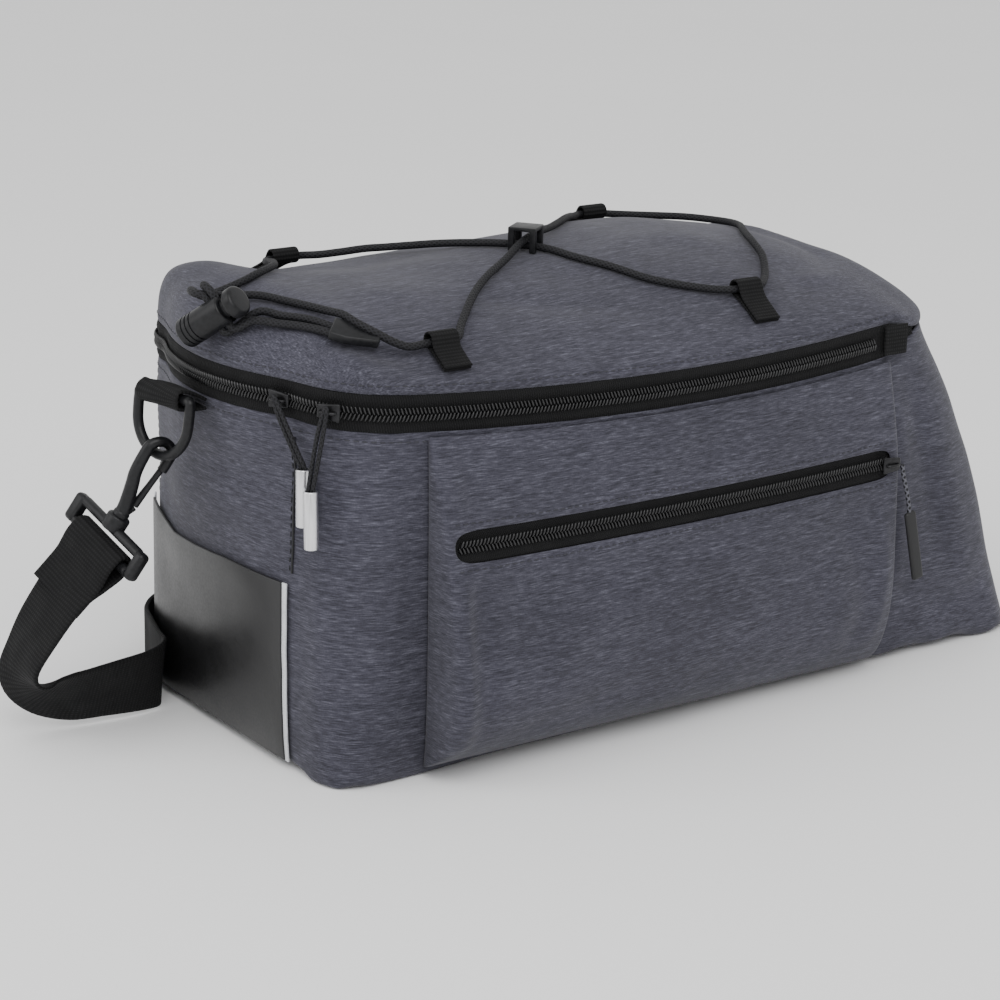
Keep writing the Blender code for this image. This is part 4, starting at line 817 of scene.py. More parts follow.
def braided(name, dark, light, pitch, around, share):
    """A cord's sleeve: yarns that cross in two slants, read from the cord's own map."""
    made, tree_, shader = new_finish(name)
    place = add(tree_, "ShaderNodeTexCoord").outputs["UV"]
    parts = add(tree_, "ShaderNodeSeparateXYZ", None, Vector=place)
    along = math_of(tree_, "MULTIPLY", parts.outputs[0], 2 * math.pi / pitch)
    across = math_of(tree_, "MULTIPLY", parts.outputs[1], 2 * math.pi / around)
    one = math_of(tree_, "SINE", math_of(tree_, "ADD", along, across))
    two = math_of(tree_, "SINE", math_of(tree_, "SUBTRACT", along, across))
    value = math_of(tree_, "MAXIMUM", one, math_of(tree_, "MULTIPLY", two, share))
    value = math_of(tree_, "ADD", math_of(tree_, "MULTIPLY", value, 0.5), 0.5)
    fuzz = grain(tree_, (900, 900, 900), 1.0, 2.0)
    mixed = blend(tree_, value, fuzz, 0.2)
    tree_.links.new(ramp_of(tree_, mixed, ((0.35, dark), (0.9, light))), shader.inputs["Base Color"])
    rough = add(tree_, "ShaderNodeMapRange", None, Value=fuzz, _1=0.3, _2=0.7, _3=0.62, _4=0.82).outputs[0]
    tree_.links.new(rough, shader.inputs["Roughness"])
    shader.inputs["Specular IOR Level"].default_value = 0.3
    relief(tree_, shader, value, 0.6, 0.0003)
    FINISHES[name] = made


def solid(name, dark, light, scale, rough, metallic=0.0, strength=0.15, distance=0.0002, coat=0.0,
          shine=0.5):
    """Moulded, metal or thread finish: fine grain in colour, gloss and relief."""
    made, tree_, shader = new_finish(name)
    fine = grain(tree_, scale, 1.0, 3.0)
    broad = grain(tree_, (60, 60, 60), 1.0, 2.0)
    value = blend(tree_, fine, broad, 0.4)
    tree_.links.new(ramp_of(tree_, value, ((0.35, dark), (0.65, light))), shader.inputs["Base Color"])
    gloss = add(tree_, "ShaderNodeMapRange", None, Value=value, _1=0.35, _2=0.65, _3=rough[0],
                _4=rough[1]).outputs[0]
    tree_.links.new(gloss, shader.inputs["Roughness"])
    shader.inputs["Metallic"].default_value = metallic
    shader.inputs["Specular IOR Level"].default_value = shine
    if coat:
        shader.inputs["Coat Weight"].default_value = coat
        shader.inputs["Coat Roughness"].default_value = 0.3
    relief(tree_, shader, fine, strength, distance)
    FINISHES[name] = made


def make_finishes(cloth, trim):
    """All the finishes, from the settings of the cloth and the trim."""
    melange("melange_cloth", cloth)
    melange("melange_lid_cloth", cloth, True)
    black = tuple(trim.webbing_colour)
    light = tuple(2.2 * c + 0.0035 for c in black)
    woven("webbing", black, trim.rib_pitch, light, 0.80)
    woven("zip_tape", black, 0.0009, light, 0.84, math.radians(28))
    solid("zip_coil", (0.004, 0.004, 0.0045), (0.012, 0.012, 0.013), (700, 700, 700), (0.26, 0.40))
    solid("dark_metal", (0.010, 0.010, 0.011), (0.028, 0.028, 0.030), (500, 500, 500), (0.25, 0.42),
          metallic=0.7)
    solid("brushed_aluminium", (0.62, 0.62, 0.63), (0.80, 0.80, 0.82), (1600, 1600, 90), (0.24, 0.40),
          metallic=1.0, strength=0.2, distance=0.0001)
    solid("panel_skin", (0.0050, 0.0050, 0.0054), (0.0090, 0.0090, 0.0098), (900, 900, 900), (0.36, 0.50),
          strength=0.12, coat=0.12)
    solid("reflective", (0.50, 0.51, 0.53), (0.72, 0.73, 0.76), (1500, 1500, 1500), (0.32, 0.46),
          metallic=0.25, strength=0.1)
    solid("rubber", (0.005, 0.005, 0.006), (0.012, 0.012, 0.013), (800, 800, 800), (0.52, 0.70))
    solid("moulded_plastic", (0.0055, 0.0057, 0.0064), (0.0130, 0.0132, 0.0148), (650, 650, 650),
          (0.30, 0.44), strength=0.12, shine=0.26)
    solid("thread", (0.014, 0.014, 0.020), (0.036, 0.036, 0.046), (1800, 1800, 1800), (0.6, 0.8))
    solid("black_thread", (0.003, 0.003, 0.004), (0.010, 0.010, 0.012), (1800, 1800, 1800), (0.6, 0.8))
    braided("braided_cord", (0.002, 0.002, 0.0024), (0.014, 0.014, 0.017), 0.0022, math.pi * CORD / 6, 1.0)
    braided("twisted_cord", (0.004, 0.004, 0.005), (0.11, 0.11, 0.13), 0.0030, math.pi * PULL_CORD / 2, -1.0)


# Settings

class RackBagCloth(PropertyGroup):
    """Colours and folds of the cloth"""
    cloth_dark: FloatVectorProperty(
        name="Dark yarn", description="Colour of the darkest yarns", subtype="COLOR", size=3, min=0, max=1,
        default=(0.017, 0.017, 0.025))
    cloth_middle: FloatVectorProperty(
        name="Middle yarn", description="Colour of most of the cloth", subtype="COLOR", size=3, min=0, max=1,
        default=(0.043, 0.042, 0.058))
    cloth_light: FloatVectorProperty(
        name="Light yarn", description="Colour of the lightest yarns", subtype="COLOR", size=3, min=0, max=1,
        default=(0.100, 0.100, 0.128))
    slub_length: FloatProperty(
        name="Streak length", description="Length of the short streaks in the weave", unit="LENGTH",
        default=0.0042, min=0.001, max=0.05)
    slub_height: FloatProperty(
        name="Streak height", description="Height of the short streaks in the weave", unit="LENGTH",
        default=0.00042, min=0.0002, max=0.01)
    slack: FloatProperty(
        name="Slack", description="How far the cloth wanders in and out between its folds", unit="LENGTH",
        default=0.0011, min=0, max=0.004)
    fineness: IntProperty(
        name="Fineness", description="Subdivision levels of the body and the lid", default=3, min=1, max=4)


class RackBagTrim(PropertyGroup):
    """Sizes and colours of zips, webbing and thread"""
    webbing_colour: FloatVectorProperty(
        name="Webbing", description="Colour of straps, loops and tapes", subtype="COLOR", size=3,
        min=0, max=1,
        default=(0.0022, 0.0022, 0.0025))
    rib_pitch: FloatProperty(
        name="Rib pitch", description="Distance between the webbing's ribs", unit="LENGTH", default=0.0016,
        min=0.0005, max=0.01)
    tooth_pitch: FloatProperty(
        name="Tooth pitch", description="Distance between the zip coil's turns", unit="LENGTH",
        default=0.0016, min=0.0008, max=0.01)
    stitch_pitch: FloatProperty(
        name="Stitch pitch", description="Distance between stitches", unit="LENGTH", default=0.0034,
        min=0.001, max=0.02)
    stitch_width: FloatProperty(
        name="Thread width", description="Thickness of a stitch", unit="LENGTH", default=0.0005,
        min=0.0001, max=0.003)


class RackBagStage(PropertyGroup):
    """Floor and light"""
    floor_colour: FloatVectorProperty(
        name="Floor", description="Colour of the floor", subtype="COLOR", size=3, min=0, max=1,
        default=(0.93, 0.93, 0.93))
    sky: FloatProperty(
        name="Sky light", description="Strength of the light from all round", default=1.0, min=0, max=10)
    key: FloatProperty(
        name="Main light", description="Power of the large lamp over the near side", unit="POWER",
        default=26, min=0, max=1000)
    fill: FloatProperty(
        name="Second light", description="Power of the lamp towards the dark end", unit="POWER",
        default=9, min=0, max=1000)


def cloth_settings():
    return bpy.context.scene.rack_bag_cloth


def trim_settings():
    return bpy.context.scene.rack_bag_trim


# Cloth pieces

class RACKBAG_OT_body(Operator):
    """Make the body's cloth"""
    bl_idname = "rack_bag.body"
    bl_label = "Body Cloth"

    def execute(self, context):
        settings = cloth_settings()
        folds = [(fold_samples(p, on_side("body_shell", side)), w, h) for side in (-1, 1)
                 for p, w, h in SIDE_FOLDS]
        folds += [(fold_samples(p, lambda y, z: end_skin(y, z, -1)[0]), w, h) for p, w, h in END_FOLDS]

        def loose(p):
            part = smooth_step((p[2] - 0.004) / 0.02) * smooth_step((0.139 - p[2]) / 0.012)
            if abs(p[1]) > 0.06 and POCKET_LEFT_X - 0.01 < p[0] < POCKET_RIGHT_X + 0.004:
                part *= 0.15
            if p[0] < -0.17 and -0.055 < p[1] < 0.070 and p[2] < 0.088:
                part *= 0.1
            return part

        piece = copy_of("body_shell", settings.fineness)
        uneven(piece, (-0.02, 0, 0.07), folds, settings.slack, loose)
        finish_piece(piece, "body_cloth", "melange_cloth", stands_for=("body_shell",), degrees=60)
        TREES["body_cloth"] = tree_of(piece)
        return {"FINISHED"}


class RACKBAG_OT_lid(Operator):
    """Make the lid's cloth"""
    bl_idname = "rack_bag.lid"
    bl_label = "Lid Cloth"

    def execute(self, context):
        settings = cloth_settings()
        reader = lambda x, y: Vector((x, y, lid_top(x, y)))
        folds = [(fold_samples(p, reader), w, h) for p, w, h in LID_FOLDS]

        def loose(p):
            return smooth_step((p[2] - zip_line(p[0]) - 0.010) / 0.010)

        piece = copy_of("lid_shell", settings.fineness)
        uneven(piece, (-0.02, 0, 0.12), folds, settings.slack * 1.2, loose)
        finish_piece(piece, "lid_cloth", "melange_lid_cloth", stands_for=("lid_shell",), degrees=60)
        TREES["lid_cloth"] = tree_of(piece)
        return {"FINISHED"}


class RACKBAG_OT_pockets(Operator):
    """Make the two side pockets' cloth"""
    bl_idname = "rack_bag.pockets"
    bl_label = "Side Pockets"

    def execute(self, context):
        settings = cloth_settings()
        for label, side in (("near", -1), ("far", 1)):
            node = label + "_pocket"
            folds = [(fold_samples(p, on_side(node, side)), w, h) for p, w, h in POCKET_FOLDS]

            def loose(p):
                ends = smooth_step((p[0] - POCKET_LEFT_X) / 0.006)
                ends *= smooth_step((POCKET_RIGHT_X - p[0]) / 0.010)
                slot = smooth_step((abs(p[2] - POCKET_ZIP_Z) - 0.009) / 0.010)
                hems = smooth_step((p[2] - 0.006) / 0.012) * smooth_step((0.136 - p[2]) / 0.010)
                return ends * slot * hems

            piece = copy_of(node, settings.fineness)
            uneven(piece, (-0.02, side * 0.05, 0.07), folds, settings.slack * 1.3, loose)
            finish_piece(piece, node + "_cloth", "melange_cloth", stands_for=(node,), degrees=60)
            TREES[node + "_cloth"] = tree_of(piece)
        return {"FINISHED"}


# Zips

def coil_tooth(width, thick, height):
    """A small turn of the zip's coil: a short rounded bar."""
    select_none()
    bpy.ops.mesh.primitive_uv_sphere_add(segments=8, ring_count=6, radius=0.5, scale=(width, thick, height))
    piece = bpy.context.object
    settle(piece)
    return piece


def coil(name, line, outs, stands_for):
    """Two rows of slanted bars that meet in the middle of the tape."""
    pitch = trim_settings().tooth_pitch
    places, ways = even_line(line, pitch)
    matrices = []
    for place, way in zip(places, ways):
        way = Vector(way)
        out = outs(Vector(place), way)
        up = way.cross(out).normalized()
        if up.z < 0:
            up = -up
        for side in (-1, 1):
            lean = (up + way * (0.42 * side)).normalized()
            across = out.cross(lean).normalized()
            centre = Vector(place) + up * (side * TEETH_HEIGHT * 0.24) + way * (side * pitch * 0.25)
            turn = Matrix((across, out, lean)).transposed().to_4x4()
            matrices.append(Matrix.Translation(centre) @ turn)
    piece = repeat(name, coil_tooth(pitch * 0.62, TEETH_THICK * 0.9, TEETH_HEIGHT * 0.60), matrices)
    return finish_piece(piece, name, "zip_coil", stands_for=stands_for, degrees=80)


def tape_profile(height, thick, lip):
    """Outline across a zip tape: thin, with a rolled lip at each edge of the cloth."""
    half = height / 2
    outer = [(-half, 0.0), (-half + lip * 0.5, 0.0004), (-half + lip, 0.0006), (-half + lip * 1.5, 0.0003),
             (-TEETH_HEIGHT * 0.55, 0.0), (0.0, 0.0001), (TEETH_HEIGHT * 0.55, 0.0),
             (half - lip * 1.5, 0.0003), (half - lip, 0.0006), (half - lip * 0.5, 0.0004), (half, 0.0)]
    return outer + [(a, -thick) for a, _ in reversed(outer)]


def outward(point, way):
    """Level direction away from the bag at a point of the main zip."""
    out = Vector((way.y, -way.x, 0)).normalized()
    return out if out.dot(Vector((point.x - ZIP_CENTRE_X, point.y, 0))) > 0 else -out


def past_the_folds(line):
    """The zip's line carried on at both ends, in under the cloth, with how far past its end each point is."""
    longer = list(line)
    for first in (True, False):
        last = longer[0] if first else longer[-1]
        side = math.copysign(1, last.y)
        start = side_point("body_shell", last.x, last.z - TAPE_HEIGHT, side)
        more = []
        for n in range(1, TAPE_STEPS + 1):
            share = n / TAPE_STEPS
            x = last.x + TAPE_BEYOND * share
            z = last.z + zip_line(x) - zip_line(last.x)
            skin = side_point("body_shell", x, z - TAPE_HEIGHT, side)
            more.append(Vector((x, last.y + skin.y - start.y - side * TAPE_SUNK * smooth_step(share * 2), z)))
        longer = list(reversed(more)) + longer if first else longer + more
    return longer, [max(TAPE_STEPS - k, k - len(longer) + 1 + TAPE_STEPS, 0) / TAPE_STEPS
                    for k in range(len(longer))]


class RACKBAG_OT_zips(Operator):
    """Make the tapes and coils of the three zips"""
    bl_idname = "rack_bag.zips"
    bl_label = "Zips"

    def execute(self, context):
        line = round_the_bag("main_zip_tape", 0.0)
        line = smooth_line(line[::4] + [line[-1]], 3)
        profile = tape_profile(TAPE_HEIGHT + 0.0012, TAPE_THICK, TAPE_LIP)
        rings = []
        longer, past = past_the_folds(line)
        for k, point in enumerate(longer):
            out = outward(point, way_at(longer, k))
            high = 1 - TAPE_TAPER * smooth_step(past[k])
            rings.append([point + UP * (a * high) + out * b for a, b in profile])
        tape = skin_of("main_zip_tape_woven", rings)
        finish_piece(tape, "main_zip_tape_woven", "zip_tape", stands_for=("main_zip_tape",))
        raised = []
        for k, point in enumerate(line):
            raised.append(point + outward(point, way_at(line, k)) * TEETH_LIFT)
        coil("main_zip_coil", raised[3:-8], outward, ("main_zip_teeth",))
        for label, side in (("near", -1), ("far", 1)):
            node = label + "_pocket_zip_tape"
            out = Vector((0, side, 0))
            points = []
            for k in range(61):
                x = POCKET_LEFT_X + 0.0019 + (POCKET_RIGHT_X - POCKET_LEFT_X - 0.0038) * k / 60
                points.append(side_point(node, x, POCKET_ZIP_Z, side))
            rows = []
            profile = tape_profile(POCKET_SLOT + 0.0030, 0.0008, 0.0020)
            for point in points:
                ring = []
                for a, b in profile:
                    back = side_point(node, point.x, POCKET_ZIP_Z + max(-0.0078, min(0.0078, a)), side)
                    ring.append(Vector((point.x, back.y + side * b, POCKET_ZIP_Z + a)))
                rows.append(ring)
            tape = skin_of(node + "_woven", rows)
            finish_piece(tape, node + "_woven", "zip_tape", stands_for=(node,))
            raised = [p + out * TEETH_LIFT for p in points]
            coil(label + "_pocket_zip_coil", raised[1:-2], lambda p, way, out=out: out,
                 (label + "_pocket_zip_teeth",))
        return {"FINISHED"}


# Sliders and pulls

def slider_at(name, seat, run, out, stands_for, front=1):
    """A zip slider: a waisted shell and a bridge over it that leaves a hole for its cord."""
    place = frame_of(seat, run, out)
    shell = block(place, (0, -0.00375, -0.00475), (SLIDER_THICK * 0.62, 0.00375, 0.00475))
    open_all(shell)
    work = bmesh.from_edit_mesh(shell.data)
    back = place.inverted()
    for corner in work.verts:
        local = back @ corner.co
        if local.z * front < 0:
            local.y *= 0.72
            corner.co = place @ local
    bmesh.update_edit_mesh(shell.data)
    leave_edit()
    soften(shell, 0.0007)
    bridge = [place @ Vector((SLIDER_THICK * lift, 0, along)) for lift, along in SLIDER_BRIDGE]
    arch = bent_rod(smooth_line(bridge, 4), BRIDGE_WIRE, sides=3)
    union(shell, arch)
    return finish_piece(shell, name, "dark_metal", stands_for=stands_for)


def nearest_on(line, along):
    """Place and direction on the near part of a line, at a length."""
    best = min((k for k in range(1, len(line) - 1) if line[k].y < 0), key=lambda k: abs(line[k].x - along))
    return line[best], (line[best + 1] - line[best - 1]).normalized()


class RACKBAG_OT_pulls(Operator):
    """Make the sliders, their cords, the metal tubes and the rubber tags"""
    bl_idname = "rack_bag.pulls"
    bl_label = "Sliders and Pulls"

    def execute(self, context):
        line = round_the_bag("main_zip_tape", 0.0)
        for label, along, top, low in ZIP_PULLS:
            seat, run = nearest_on(line, along)
            out = Vector((run.y, -run.x, 0))
            if out.dot(seat) < 0:
                out = -out
            seat = Vector((seat.x, seat.y, zip_line(seat.x))) + out * (TEETH_THICK + 2 * GAP)
            slider_at(label + "_zip_slider", seat, run, out, (label + "_slider",),
                      1 if label == "left" else -1)
            start = seat + out * (SLIDER_THICK + GAP + PULL_CORD / 2) + UP * 0.0010
            hang = (low - top).normalized()
            spread = run * 0.0011
            into = top + hang * 0.0040
            one, two = ([start + aside * 0.5, start.lerp(top, 0.3) + aside + out * 0.0006,
                         start.lerp(top, 0.7) + aside + out * 0.0004, top + aside * 0.8, into + aside * 0.8]
                        for aside in (spread, -spread))
            cord = tube(label + "_zip_pull_cord", smooth_line(one[::-1] + two, 6), PULL_CORD, 12)
            finish_piece(cord, label + "_zip_pull_cord", "braided_cord", stands_for=(label + "_pull_cord",))
            place = frame_of(top, hang, out)
            metal = turned(place, 0, PULL_TUBE_LENGTH, PULL_TUBE)
            soften(metal, 0.0005)
            cut(metal, turned(place, -0.002, 0.006, TUBE_MOUTH, 32),
                turned(place, PULL_TUBE_LENGTH - 0.0012, PULL_TUBE_LENGTH + 0.002, TUBE_FOOT_BORE, 32))
            finish_piece(metal, label + "_metal_tube", "brushed_aluminium",
                         stands_for=(label + "_pull_tube",))
        for label, side in (("near", -1), ("far", 1)):
            low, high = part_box(label + "_pocket_slider")
            back = low.y if side > 0 else high.y
            seat = Vector(((low.x + high.x) / 2, back, (low.z + high.z) / 2))
            out = Vector((0, side, 0))
            slider_at(label + "_pocket_zip_slider", seat, Vector((1, 0, 0)), out,
                      (label + "_pocket_slider",), -1)
            low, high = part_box(label + "_pocket_pull_cord")
            start_x, top_z = low.x + PULL_CORD / 2, high.z - PULL_CORD / 2
            path = []
            for right, down in POCKET_PULL:
                at = Vector((start_x + right, side, top_z - down))
                hit = tree(label + "_pocket_pull_cord").ray_cast(at - UP * 0.0002, Vector((0, -side, 0)))
                y = hit[0].y - side * PULL_CORD / 2 if hit[0] else (path[-1].y if path else high.y)
                path.append(Vector((at.x, y, at.z)))
            cord = tube(label + "_pocket_zip_pull_cord", smooth_line(path, 8), PULL_CORD, 12)
            finish_piece(cord, label + "_pocket_zip_pull_cord", "twisted_cord",
                         stands_for=(label + "_pocket_pull_cord",))
            tag = copy_of(label + "_pocket_pull_tag")
            soften(tag, 0.0004, 2, 25)
            finish_piece(tag, label + "_pocket_rubber_tag", "rubber",
                         stands_for=(label + "_pocket_pull_tag",))
        return {"FINISHED"}


class RACKBAG_OT_panel(Operator):
    """Make the smooth end panel, its reflective edges and the zip's end tabs"""
    bl_idname = "rack_bag.panel"
    bl_label = "End Panel"

    def execute(self, context):
        panel = copy_of("end_panel", soft_edge=PANEL_EDGE)
        finish_piece(panel, "end_panel_skin", "panel_skin", stands_for=("end_panel",), degrees=50)
        for label in ("near", "far"):
            strip = copy_of(label + "_reflective_strip", soft_edge=STRIP_EDGE)
            finish_piece(strip, label + "_reflective_edge", "reflective",
                         stands_for=(label + "_reflective_strip",), degrees=50)
            side = -1 if label == "near" else 1
            low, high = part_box(label + "_zip_end_tab")
            rows = []
            for n in range(25):
                z = low.z + 0.0008 + (high.z - low.z - 0.0016) * n / 24
                hit = side_point(label + "_zip_end_tab", (low.x + high.x) / 2, z, side)
                rows.append((hit - Vector((0, side * TAB_THICK / 2, 0)), Vector((1, 0, 0))))
            profile = flat_profile(high.x - low.x - 0.0015, TAB_THICK)
            piece = smooth_band(label + "_zip_end_fold", rows, profile, 1)
            finish_piece(piece, label + "_zip_end_fold", "webbing", stands_for=(label + "_zip_end_tab",))
        return {"FINISHED"}


# Stretch cord and what holds it

class RACKBAG_OT_loops(Operator):
    """Make the four webbing loops that hold the stretch cord"""
    bl_idname = "rack_bag.loops"
    bl_label = "Cord Loops"

    def execute(self, context):
        for name, root, reach in LOOPS:
            seam = Vector((*root, lid_top(*root)))
            held = Vector((*reach, lid_top(*reach) + CORD / 2 + LOOP_LIFT))
            run = (Vector((*reach, lid_top(*reach))) - seam).normalized()
            across = UP.cross(run).normalized()
            up = run.cross(across)
            wrap = CORD / 2 + LOOP_CLEARANCE + LOOP_THICK / 2
            low = seam + up * (0.0010 + LOOP_THICK / 2)
            high = low + up * (LOOP_THICK + GAP)
            under = held - up * wrap
            path = [low - run * 0.002, low]
            path += [low.lerp(under, share) + up * 0.0005 for share in (0.4, 0.75)]
            for angle in (-90, -45, 0, 45, 90, 130):
                turn = math.radians(angle)
                path.append(held + (run * math.cos(turn) + up * math.sin(turn)) * wrap)
            path += [low.lerp(under, 0.6) + up * (0.0005 + LOOP_THICK + 3 * GAP), high, high - run * 0.002]
            rows = [(p, across) for p in path]
            piece = smooth_band(name + "_webbing_loop", rows, flat_profile(LOOP_WIDTH, LOOP_THICK, 10), 6)
            finish_piece(piece, name + "_webbing_loop", "webbing", stands_for=(name + "_cord_loop",))
        return {"FINISHED"}


def over_lid(rows):
    """Places on the lid with their lift, as the middle of the cord, clear of the cloth's folds."""
    found = []
    for x, y, lift in rows:
        ground = max(lid_top(x, y), lid_top(x, y, "lid_cloth") if "lid_cloth" in TREES else 0)
        found.append(Vector((x, y, ground + CORD / 2 + lift * 0.7)))
    return found


def lock_axes():
    """The cord lock's length, the way of its hole, and the hole's middle."""
    axis = (LOCK_HEAD - LOCK_END).normalized()
    return axis, LOCK_THROUGH.normalized(), LOCK_END + axis * LOCK_MIDDLE


class RACKBAG_OT_stretch_cord(Operator):
    """Make the stretch cord along its whole route"""
    bl_idname = "rack_bag.stretch_cord"
    bl_label = "Stretch Cord"

    def execute(self, context):
        axis, through, middle = lock_axes()
        one, two = middle - axis * LOCK_STRANDS, middle + axis * LOCK_STRANDS
        route = over_lid(TAIL_ONE) + [one - through * LOCK_LEAVE, one, one + through * LOCK_LEAVE]
        route += [Vector(p) for p in BLOB_ONE] + over_lid(CORD_ROUTE) + [Vector(p) for p in BLOB_TWO]
        route += [two + through * LOCK_LEAVE, two, two - through * LOCK_LEAVE] + over_lid(TAIL_TWO)
        piece = tube("stretch_cord", smooth_line(route, 7), CORD, 14)
        finish_piece(piece, "stretch_cord", "braided_cord", stands_for=("bungee_cord",), degrees=80)
        return {"FINISHED"}


class RACKBAG_OT_cord_lock(Operator):
    """Make the cord lock's barrel and its button"""
    bl_idname = "rack_bag.cord_lock"
    bl_label = "Cord Lock"

    def execute(self, context):
        axis, through, _ = lock_axes()
        place = frame_of(LOCK_END, axis, through)
        barrel = turned(place, 0, LOCK_LENGTH, LOCK_WIDTH, 64)
        soften(barrel, 0.0010, 4)
        half = LOCK_SLOT_HEIGHT / 2
        grooves = []
        for low in LOCK_GROOVES:
            ring = turned(place, low, low + 0.0007, LOCK_WIDTH + 0.002, 64)
            grooves.append(cut(ring, turned(place, low - 0.001, low + 0.002, LOCK_WIDTH - 0.0008, 64)))
        cut(barrel, *grooves)
        dish = turned(place, -0.002, 0.0007, LOCK_WIDTH - 0.0042, 48)
        cut(barrel, dish, turned(place, LOCK_BORE_FOOT, BUTTON_TOP, LOCK_BORE, 48),
            block(place, (-LOCK_WIDTH, -half, LOCK_MIDDLE - LOCK_SLOT / 2), (LOCK_WIDTH, half, BUTTON_TOP)))
        finish_piece(barrel, "lock_barrel", "moulded_plastic", stands_for=("cord_lock_barrel",))
        head = LOCK_LENGTH + BUTTON_TRAVEL + GAP
        button = turned(place, head, BUTTON_TOP, LOCK_WIDTH, 64)
        soften(button, 0.0016, 5)
        stem = turned(place, BUTTON_FOOT, head + 0.001, BUTTON_WIDTH, 48)
        union(button, stem)
        cut(button, block(place, (-LOCK_WIDTH, -half, LOCK_MIDDLE - LOCK_SLOT / 2 - GAP),
                          (LOCK_WIDTH, half, head)))
        finish_piece(button, "lock_button_head", "moulded_plastic", "lock_button", ("cord_lock_button",))
        return {"FINISHED"}


class RACKBAG_OT_clip(Operator):
    """Make the clip over the cord's crossing and the wedge on its tails"""
    bl_idname = "rack_bag.clip"
    bl_label = "Clip and Wedge"

    def execute(self, context):
        clip = copy_of("cord_clip")
        soften(clip, 0.0004, 3)
        finish_piece(clip, "crossing_clip", "moulded_plastic", stands_for=("cord_clip",))
        wedge = copy_of("cord_end_wedge")
        soften(wedge, 0.0003, 2, 25)
        finish_piece(wedge, "tail_wedge", "moulded_plastic", stands_for=("cord_end_wedge",))
        return {"FINISHED"}


# Rings, hooks and strap

def ring_and_tab(label, bar, across, hang, out, root_high, root_low):
    """A D-ring that hangs from its bar, and the webbing folded round the bar between two sewn ends."""
    across, hang = across.normalized(), hang.normalized()
    half = (RING_WIDTH - RING_WIRE) / 2
    drop = RING_HEIGHT - RING_WIRE
    centre = drop * RING_CENTRE
    points = [bar - across * (half * 0.90), bar, bar + across * (half * 0.90),
              bar + across * half + hang * (0.12 * drop)]
    for k in range(13):
        turn = math.pi * k / 12
        depth = centre + (drop - centre) * math.sin(turn)
        points.append(bar + across * (half * math.cos(turn)) + hang * depth)
    points.append(bar - across * half + hang * (0.12 * drop))
    ring = bent_rod(smooth_line(points, 5, True), RING_WIRE, True, 6)
    finish_piece(ring, label + "_moulded_ring", "moulded_plastic", stands_for=(label + "_d_ring",),
                 degrees=80)
    wrap = RING_WIRE / 2 + LOOP_CLEARANCE + TAB_THICK / 2
    up = across.cross(out)
    up = -up if up.z < 0 else up
    path = [root_high, root_high.lerp(bar + up * wrap, 0.5) + up * 0.0006]
    for angle in (90, 55, 20, -20, -55, -90):
        turn = math.radians(angle)
        path.append(bar + up * (wrap * math.sin(turn)) + out * (wrap * math.cos(turn)))
    path += [root_low.lerp(bar - up * wrap, 0.5) - up * 0.0002, root_low]
    rows = []
    for n, point in enumerate(path):
        share = smooth_step(min(n, len(path) - 1 - n) / 2)
        rows.append((point, Vector((0, 1, 0)).lerp(across, share).normalized()))
    tab = smooth_band(label + "_webbing_tab", rows, flat_profile(TAB_WIDTH, TAB_THICK, 12), 6)
    finish_piece(tab, label + "_webbing_tab", "webbing", stands_for=(label + "_ring_tab",))


